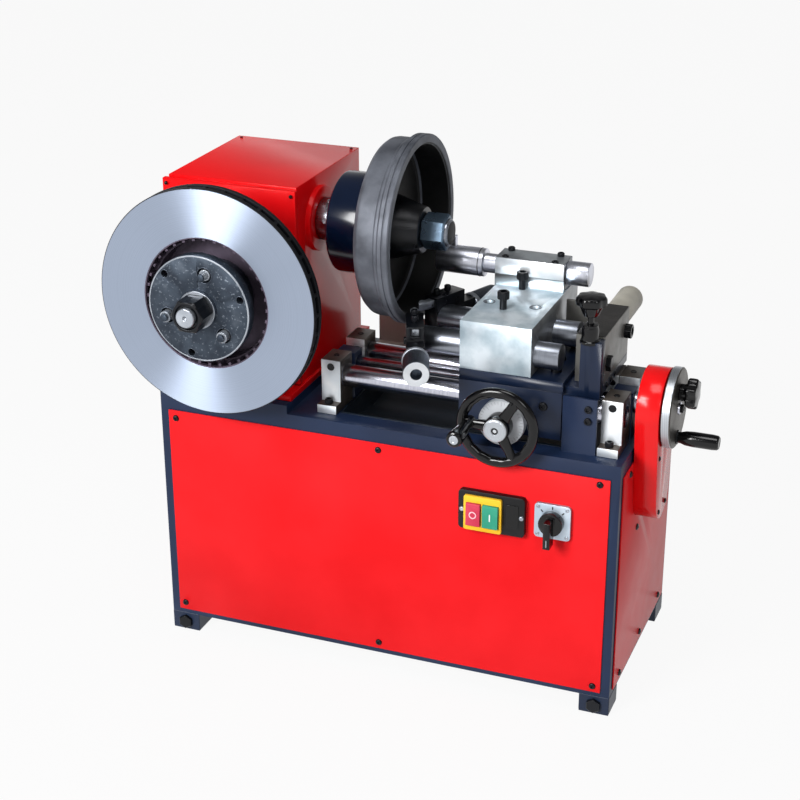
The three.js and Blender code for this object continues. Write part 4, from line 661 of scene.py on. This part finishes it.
# ---------------------------------------------------------------- crank end
CRANK_REACH, CLUTCH_REACH = 40, -22
crank_place = rightward(*CRANK)
grip_axis = crank_place @ upward(CRANK_REACH, 0, 0)
clutch_axis = crank_place @ upward(CLUTCH_REACH, 0, 0)
piece("crank_plate", Form().revolve([
    (8.3, 674.6), (51, 674.6), (52, 675.6), (52, 685.4), (50.4, 687), (20, 687), (19.5, 687.1), (8.3, 687.1),
], crank_place, 120, closed=True), crank_face, "screw", ["crank_disc"], 0.5)
# A thin bright steel skin over the crank disc's rim: painted highlight.
piece("crank_rim_highlight", Form().revolve([
    (51.9, 675.8), (52.15, 676), (52.15, 685.2), (51.9, 685.4),
], crank_place, 120, closed=True), dial_steel, "screw", (), 0.05)
crank_fixings = Form().revolve([
    (0, 689), (5.6, 689), (5.6, 692.6), (5, 693.2), (3, 693.2, hexagonal), (3, 690.6, hexagonal), (0, 690.4),
], crank_place, 48)
crank_fixings.revolve([(5, 686.6), (9.4, 686.6), (9.4, 688.4), (5, 688.4)],
                      grip_axis, 32, closed=True)
piece("crank_fixings", crank_fixings, black_steel, "screw", (), 0.3)
piece("crank_handle", Form().revolve([
    (0, 679.1), (4.7, 679.1), (4.7, 688), (7, 688), (7.6, 693), (9.2, 698), (10, 708), (10, 732),
    (9.4, 738.6), (7.6, 740.9), (6.8, 740.2), (0, 740.2),
], grip_axis, 48), black_gloss, "screw_grip", ["crank_grip"], 0.5)
star = lobed(6, 0.22)
piece("clutch_star", Form().revolve([
    (0, 679.1), (4.7, 679.1), (4.7, 687.4), (11, 687.4), (11, 693), (13.5, 695.5, star), (18.6, 696.2, star),
    (20.5, 698, star), (20.7, 703, star), (20.5, 707.6, star), (19, 709.4, star), (11, 710.2), (0, 710.3),
], clutch_axis, 72), black_gloss, "clutch", ["clutch_knob"], 0.5)
GUARD_RIGHT = 672.6
guard_screws = Form()
for y, z in ((66, 350), (130, 350), (80, 268), (116, 268)):
    guard_screws.socket_screw(rightward(GUARD_RIGHT, y, z), 3.2, 1.6)
piece("guard_screws", guard_screws, black_steel, "cabinet", (), 0.25)
rear_clamp = Form().block((585.2, 120.4, 396), (602.4, 160, 431.6))
piece("rear_bar_clamp", rear_clamp, support_metal, "cabinet", (), 0.8)
clamp_hole = Form().socket_screw(frontward(594, 120.3, 421), 4.2, 0.6, WIDE_SOCKET)
piece("rear_clamp_screw", clamp_hole, black_steel, "cabinet", (), 0.2)

# ---------------------------------------------------------------- saddle fittings
HOLDER_RIGHT, POST = 599, (582.5, 41.5, 0)
saddle_bits = Form()
saddle_bits.pan_screw(frontward(530, 26, 416), 6, 3)
for y, z in ((60, 402), (60, 392)):
    saddle_bits.socket_screw(rightward(553.6, y, z), 4.4, 0.9)
saddle_bits.revolve([
    (0, 599), (9, 599, hexagonal), (9, 604.5, hexagonal), (8, 605.5, hexagonal), (0, 605.5),
], rightward(0, 68, 469), 24)
saddle_bits.cap_screw(rightward(HOLDER_RIGHT, 157, 480), 9.5, 9, 5, 1)
for y in (70, 90, 110):
    saddle_bits.socket_screw(rightward(HOLDER_RIGHT, y, 439), 3.6, 1.4)
piece("saddle_screws", saddle_bits, black_steel, "carriage", (), 0.35)
# A thin dark sheet laid on the holder block's top: painted shade.
piece("holder_top_shade_sheet", Form().block((562.8, 53.8, 507.2), (598.2, 171.2, 508.7)),
      holder_top_shade, "carriage", (), 0.5)
piece("post_cap", Form().revolve([
    (4.4, 528.4), (7, 528.2), (9.6, 526), (10.8, 522), (10.8, 508.5), (12.6, 507), (12.6, 504), (9.7, 504),
    (9.7, 528),
], upward(*POST), 48, closed=True), black_gloss, "carriage", (), 0.4)
knob_lobes = lobed(7, 0.1)
piece("lock_handle", Form().revolve([
    (0, 518.5), (4, 518.5), (4, 537.6), (5.4, 538.4), (9, 539.4), (10.5, 542), (12.6, 547, knob_lobes),
    (14.6, 551.6, knob_lobes), (17.4, 553, knob_lobes), (19.6, 554.6, knob_lobes), (19.9, 558, knob_lobes),
    (19.6, 562.4, knob_lobes), (18.2, 564.6, knob_lobes), (12, 565.9), (0, 566),
], upward(*POST), 84), black_gloss, "carriage_lock", ["lock_knob"], 0.4)
piece("rod_body", Form().revolve([
    (0, 152.6), (8, 152.6), (8, 172.2), (16.6, 172.2), (17.5, 173.2), (17.5, 250.5), (16.4, 253.6),
    (13.5, 255), (0, 255),
], rearward(580.5, 0, 490), 64), beige, "carriage", ["rear_rod"], 0.5)

# ---------------------------------------------------------------- handwheel
wheel_place = frontward(*WHEEL)
SPOKES, SPOKE_START, GRIP_CIRCLE = 3, 178, 37.5
RIM_RADIUS, RIM_HEIGHT, RIM_HALF, RIM_HALF_HEIGHT, RIM_POINTS = 47, 22, 6.6, 5.6, 16
SCALLOPED_BELOW, SPOKE_FLATNESS = 46, 0.62
spoke_angle = math.radians(SPOKE_START)
rim = []
for k in range(RIM_POINTS):
    angle = k * TAU / RIM_POINTS
    rim.append((RIM_RADIUS + RIM_HALF * math.cos(angle), RIM_HEIGHT + RIM_HALF_HEIGHT * math.sin(angle)))
scallop = lobed(18, 0.018)
rim_profile = [(r, h, scallop) if r < SCALLOPED_BELOW else (r, h) for r, h in rim]
wheel = Form().revolve(rim_profile, wheel_place, 144, closed=True)
wheel.revolve([
    (5.3, 8.3), (15, 8.3), (16.6, 9.5), (17, 12), (17, 26), (16, 29.2), (14, 30), (5.3, 30),
], wheel_place, 64, closed=True)
for i in range(SPOKES):
    turn = wheel_place @ Matrix.Rotation(spoke_angle + i * TAU / SPOKES, 4, "Z") @ upward(0, 0, RIM_HEIGHT)
    arm = turn @ Matrix.Rotation(QUARTER, 4, "Y") @ Matrix.Diagonal((SPOKE_FLATNESS, 1, 1, 1))
    wheel.revolve([(0, 12), (8.4, 12), (7.2, 22), (6.2, 32), (6.6, 40), (8.6, 46), (0, 47)], arm, 24)
grip_place = on_circle(wheel_place, GRIP_CIRCLE, SPOKE_START)
wheel.revolve([
    (3.3, 16), (8, 16), (8.4, 18), (7.6, 27.4), (7, 28), (3.3, 28),
], grip_place, 32, closed=True)
piece("wheel_body", wheel, black_gloss, "wheel", ["handwheel"], 0.5)
piece("wheel_cap", Form().revolve([
    (0, 32.6), (14.4, 32.6), (14.4, 33.4), (13.2, 34.2), (5.2, 34.2), (4.8, 33), (0, 33),
], wheel_place, 48), dial_steel, "wheel", (), 0.25)
piece("wheel_cap_screw", Form().revolve([
    (0, 32.8), (4.4, 32.8), (4.4, 34), (2.4, 34, hexagonal), (2.4, 33.2, hexagonal), (0, 33.2),
], wheel_place, 24), black_steel, "wheel", (), 0.15)
piece("wheel_handle", Form().revolve([
    (0, 20.3), (3, 20.3), (3, 28.3), (7.2, 28.3), (7.6, 31), (6.8, 34), (7.6, 40), (9.4, 54),
    (10.4, 68), (10.5, 75), (9.7, 78.4), (7.8, 79.6), (6.2, 79.8), (6, 78.8), (0, 78.8),
], grip_place, 48), black_gloss, "wheel_grip", ["handwheel_grip"], 0.4)
piece("wheel_handle_end", Form().revolve([
    (0, 78.4), (6, 78.4), (5.9, 79.4), (3.4, 79.7), (3, 79.1), (0, 79.1),
], grip_place, 32), dial_steel, "wheel_grip", (), 0.15)
TICKS, LONG_EVERY, TICK_HALF_WIDTH, TICK_END = 40, 5, 0.22, 29
TICK_SHORT_FROM, TICK_LONG_FROM = 25.5, 23
ticks = Form()
for i in range(TICKS):
    turn = wheel_place @ Matrix.Rotation(i * TAU / TICKS, 4, "Z")
    reach = TICK_SHORT_FROM if i % LONG_EVERY else TICK_LONG_FROM
    ticks.prism([
        (reach, -TICK_HALF_WIDTH), (TICK_END, -TICK_HALF_WIDTH),
        (TICK_END, TICK_HALF_WIDTH), (reach, TICK_HALF_WIDTH),
    ], 7.9, 8.15, turn)
piece("dial_marks", ticks, mark_grey, "wheel", (), 0.05)

# ---------------------------------------------------------------- tool block fittings
BLOCK_SCREW = {"radius": 7.8, "head": 10, "shank": 4.6, "length": 15}
block_bits = Form()
for y in (85, 165):
    block_bits.cap_screw(upward(456, y, 530), **BLOCK_SCREW)
piece("block_screws", block_bits, black_steel, "slide", (), 0.35)
block_rims = Form()
for x in (431, 493):
    hole = upward(x, 104.5, 0)
    block_rims.revolve([(6.4, 515.6), (7.9, 515.6), (7.7, 516.35), (6.7, 516.35)], hole, 32, closed=True)
    block_rims.revolve([
        (0, 506), (5.6, 506), (5.6, 511), (3, 511, hexagonal), (3, 508, hexagonal), (0, 508),
    ], hole, 24)
piece("block_hole_rims", block_rims, knob_steel, "slide", (), 0.15)
clamp_bits = Form()
for x in (428, 496):
    for y, z, head in ((177.5, 548.5, 7), (204.5, 553.5, 5)):
        clamp_bits.cap_screw(upward(x, y, z), 4.8, head, 2.6, 1)
piece("clamp_screws", clamp_bits, black_steel, "slide", (), 0.3)
SLIDE_TOP = 451.5
slide_bits = Form()
for x, y in ((536, 60), (536, 150), (530, 100)):
    slide_bits.socket_screw(upward(x, y, SLIDE_TOP), 7, 4.5)
piece("slide_screws", slide_bits, black_steel, "slide", (), 0.35)
BAR_LEFT_END = 331.5
piece("boring_bar_ring", Form().revolve([
    (19.05, 390), (19.4, 390.2), (19.4, 391), (19.05, 391.2),
], rightward(*BORING), 64, closed=True), black_steel, "boring_tool", (), 0.1)
bar_end = rightward(BAR_LEFT_END, *BORING[1:]) @ Matrix.Rotation(TAU / 2, 4, "X")
end_screw = Form().socket_screw(bar_end, 9, 2.2)
piece("boring_clamp_screw", end_screw, bright_steel, "boring_tool", (), 0.3)

# ---------------------------------------------------------------- tool heads
LEAN = math.radians(90 - 21.7)
HEAD_X, HEAD_Z, HEAD_HALF_WIDTH = 343, 470, 11.5
for place_name, side, head_y in (("front", -1, 65.0), ("rear", 1, 126.0)):
    head_place = upward(HEAD_X, head_y, HEAD_Z) @ Matrix.Rotation(side * LEAN, 4, "Z")
    out = head_place @ Matrix.Rotation(QUARTER, 4, "Y")
    knurl = lobed(48, 0.03)
    piece(f"{place_name}_knob_body", Form().revolve([
        (0, 60.6), (6, 60.6), (6, 77.5), (14.5, 77.5), (15.2, 78.5), (15.6, 81), (15.6, 84.4), (16, 85.6),
        (16.4, 86.4), (16.8, 87, knurl), (16.8, 120.5, knurl), (16.2, 121.3), (16.2, 122.4), (16.6, 123),
        (16.6, 128), (15.6, 129.3), (7.4, 129.3), (7, 128.6), (7, 115.4), (0, 115.4),
    ], out, 96), knob_steel, f"{place_name}_knob", [f"{place_name}_tool_knob"], 0.25, 28)
    piece(f"{place_name}_knob_ring", Form().revolve([
        (7.3, 129.1), (16.2, 129.1), (15.9, 129.55), (7.6, 129.55),
    ], out, 64, closed=True), ring_steel, f"{place_name}_knob", (), 0.1)
    piece(f"{place_name}_knob_band", Form().revolve([
        (15.6, 77.7), (16.9, 78.6), (17.4, 80.4), (17.4, 84.6), (16.6, 85.4), (15.6, 85.4),
    ], out, 64, closed=True), stud_steel, f"{place_name}_knob", (), 0.1)
    head_screw = Form()
    for reach in (12, 33):
        head_screw.cap_screw(head_place @ upward(reach, 0, 34.2), 4.6, 7.5, 3, 2.5)
    head_screw.socket_screw(head_place @ frontward(30, -HEAD_HALF_WIDTH, 6), 5, 3)
    head_screw.socket_screw(head_place @ rearward(30, HEAD_HALF_WIDTH, 6), 5, 3)
    piece(f"{place_name}_head_screws", head_screw, black_steel, f"{place_name}_tool", (), 0.3)
    tip = Form().prism([(-24.3, -0.5), (-17, -5.2), (-12, -5.2), (-12, 5.2), (-17, 5.2), (-24.3, 0.5)],
                       30.2, 31.4, head_place)
    piece(f"{place_name}_bit_insert", tip, stud_steel, f"{place_name}_bit", (), 0.2)

# ---------------------------------------------------------------- switches
PLATE_FRONT, BUTTON_FRONT, CAM_PLATE_FRONT, CAM_KNOB_FRONT = -10.6, -19.6, -7.6, -32.9
CAM_X, CAM_Z, BUTTON_Z, MARK_SUNK = 556.75, 274.5, 271, -0.2
plate_screws = Form()
for x, z in ((437.0, 273.5), (517, 273.5)):
    plate_screws.pan_screw(frontward(x, PLATE_FRONT, z), 3.4, 1.8)
piece("switch_screws", plate_screws, bright_steel, "cabinet", (), 0.25)
relief = Form()
relief.prism(rounded(496, 257, 17, 33, 2), MARK_SUNK, 1.0, frontward(0, PLATE_FRONT, 0))
piece("switch_relief", relief, black_gloss, "cabinet", (), 0.3)
cam_screws = Form()
for x in (537.5, 576):
    for z in (255, 294):
        cam_screws.pan_screw(frontward(x, CAM_PLATE_FRONT, z), 2.6, 1.2)
piece("cam_plate_screws", cam_screws, bright_steel, "cabinet", (), 0.2)
cam_marks = Form()
for angle in (-45, 0, 45):
    turn = frontward(CAM_X, CAM_PLATE_FRONT, CAM_Z) @ Matrix.Rotation(math.radians(angle), 4, "Z")
    cam_marks.prism([(-0.7, 17.6), (0.7, 17.6), (0.7, 21.5), (-0.7, 21.5)], MARK_SUNK, 0.35, turn)
piece("cam_marks", cam_marks, black_matt, "cabinet", (), 0.05)
stop_mark = Form().revolve([(3.6, MARK_SUNK), (5.0, MARK_SUNK), (5.0, 0.4), (3.6, 0.4)],
                           frontward(454.4, BUTTON_FRONT, BUTTON_Z), 40, closed=True)
piece("stop_mark", stop_mark, mark_pink, "stop", (), 0.1)
start_mark = Form().prism([(-0.8, -5), (0.8, -5), (0.8, 5), (-0.8, 5)], MARK_SUNK, 0.4,
                          frontward(477.4, BUTTON_FRONT, BUTTON_Z))
piece("start_mark", start_mark, mark_white, "start", (), 0.1)
pointer = Form().prism([(-0.7, -24), (0.7, -24), (0.7, -14), (-0.7, -14)], MARK_SUNK, 0.3,
                       frontward(CAM_X, CAM_KNOB_FRONT, CAM_Z))
piece("pointer_line", pointer, mark_grey, "selector", (), 0.1)


# ---------------------------------------------------------------- stage, lamps and camera
# Metres, degrees and watts, but LOOK_AT is in millimetres, like the places of the forms
FLOOR_SIZE, FLOOR_DROP, FLOOR_GLOW = 40, 0.0005, 0.93
WORLD_LIGHT = 0.26
BACKDROP = ((0.0, 1.0), (0.06, 0.9), (0.2, 0.4), (0.6, 0.16))
LAMPS = (
    ("key", (-1.3, -3.0, 2.0), (0, 0, 0.35), (1.4, 1.4), 135),
    ("top", (0.3, -0.9, 3.1), (0, 0, 0.4), (1.2, 1.2), 26),
    ("fill", (1.9, -2.6, 2.2), (0, 0, 0.35), (0.9, 0.9), 14),
)
CAMERA_AZIMUTH, CAMERA_ELEVATION, CAMERA_ROLL = 21.30, 23.48, -0.14
CAMERA_DISTANCE, CAMERA_LENS, CAMERA_SENSOR = 2.443, 77.9, 36
LOOK_AT = (270, 200, 314)


def floor():
    """A large pale floor that glows where the camera and mirrors see it."""
    bpy.ops.mesh.primitive_plane_add(size=FLOOR_SIZE, location=(0, 0, -FLOOR_DROP))
    obj = bpy.context.object
    obj.name = "floor"
    look = Look("floor", roughness=0.9)
    look.mottle(look.noise(2), "b4b4b6", "bcbcbe")
    tree = look.tree
    path = look.node("ShaderNodeLightPath").outputs
    seen = path["Is Camera Ray"]
    for other in ("Is Glossy Ray", "Is Transmission Ray"):
        seen = look.node("ShaderNodeMath", {0: seen, 1: path[other]}, operation="MAXIMUM").outputs[0]
    glow = look.node("ShaderNodeEmission", {"Color": (1, 1, 1, 1), "Strength": 1.0}).outputs[0]
    share = look.node("ShaderNodeMath", {0: seen, 1: FLOOR_GLOW}, operation="MULTIPLY").outputs[0]
    mixed = look.node("ShaderNodeMixShader", {0: share, 1: look.shader.outputs[0], 2: glow})
    tree.links.new(mixed.outputs[0], tree.nodes["Material Output"].inputs["Surface"])
    obj.data.materials.append(look.material)


def world():
    """A white backdrop, darker upwards, for the camera and mirrors, and soft light for the rest."""
    made = bpy.data.worlds.new("studio")
    bpy.context.scene.world = made
    made.use_nodes = True
    tree = made.node_tree
    tree.nodes.clear()
    path = tree.nodes.new("ShaderNodeLightPath").outputs
    direction = tree.nodes.new("ShaderNodeTexCoord").outputs["Generated"]
    parts = tree.nodes.new("ShaderNodeSeparateXYZ")
    tree.links.new(direction, parts.inputs[0])
    ramp = tree.nodes.new("ShaderNodeValToRGB")
    tree.links.new(parts.outputs["Z"], ramp.inputs[0])
    while len(ramp.color_ramp.elements) < len(BACKDROP):
        ramp.color_ramp.elements.new(0.5)
    for element, (position, value) in zip(ramp.color_ramp.elements, BACKDROP):
        element.position = position
        element.color = (value, value, value, 1)
    seen = tree.nodes.new("ShaderNodeBackground")
    tree.links.new(ramp.outputs[0], seen.inputs["Color"])
    soft = tree.nodes.new("ShaderNodeBackground")
    soft.inputs["Color"].default_value = (1, 1, 1, 1)
    soft.inputs["Strength"].default_value = WORLD_LIGHT
    either = tree.nodes.new("ShaderNodeMath")
    either.operation = "MAXIMUM"
    tree.links.new(path["Is Camera Ray"], either.inputs[0])
    tree.links.new(path["Is Glossy Ray"], either.inputs[1])
    mixed = tree.nodes.new("ShaderNodeMixShader")
    tree.links.new(either.outputs[0], mixed.inputs[0])
    tree.links.new(soft.outputs[0], mixed.inputs[1])
    tree.links.new(seen.outputs[0], mixed.inputs[2])
    output = tree.nodes.new("ShaderNodeOutputWorld")
    tree.links.new(mixed.outputs[0], output.inputs["Surface"])


def area_light(name, location, target, size, power):
    data = bpy.data.lights.new(name, "AREA")
    data.shape = "RECTANGLE"
    data.size, data.size_y = size
    data.energy = power
    obj = bpy.data.objects.new(name, data)
    bpy.context.scene.collection.objects.link(obj)
    obj.location = location
    obj.rotation_euler = (Vector(target) - Vector(location)).to_track_quat("-Z", "Y").to_euler()


def camera():
    azimuth, elevation, roll = map(math.radians, (CAMERA_AZIMUTH, CAMERA_ELEVATION, CAMERA_ROLL))
    back = Vector((math.sin(azimuth) * math.cos(elevation), -math.cos(azimuth) * math.cos(elevation),
                   math.sin(elevation)))
    data = bpy.data.cameras.new("camera")
    data.lens = CAMERA_LENS
    data.sensor_width = CAMERA_SENSOR
    obj = bpy.data.objects.new("camera", data)
    bpy.context.scene.collection.objects.link(obj)
    obj.location = (Vector(LOOK_AT) - ORIGIN) / PER_METRE + back * CAMERA_DISTANCE
    turn = (-back).to_track_quat("-Z", "Y").to_matrix().to_4x4() @ Matrix.Rotation(roll, 4, "Z")
    obj.rotation_euler = turn.to_euler()
    bpy.context.scene.camera = obj


floor()
world()
for lamp in LAMPS:
    area_light(*lamp)
camera()
bpy.context.scene.view_settings.view_transform = "Standard"
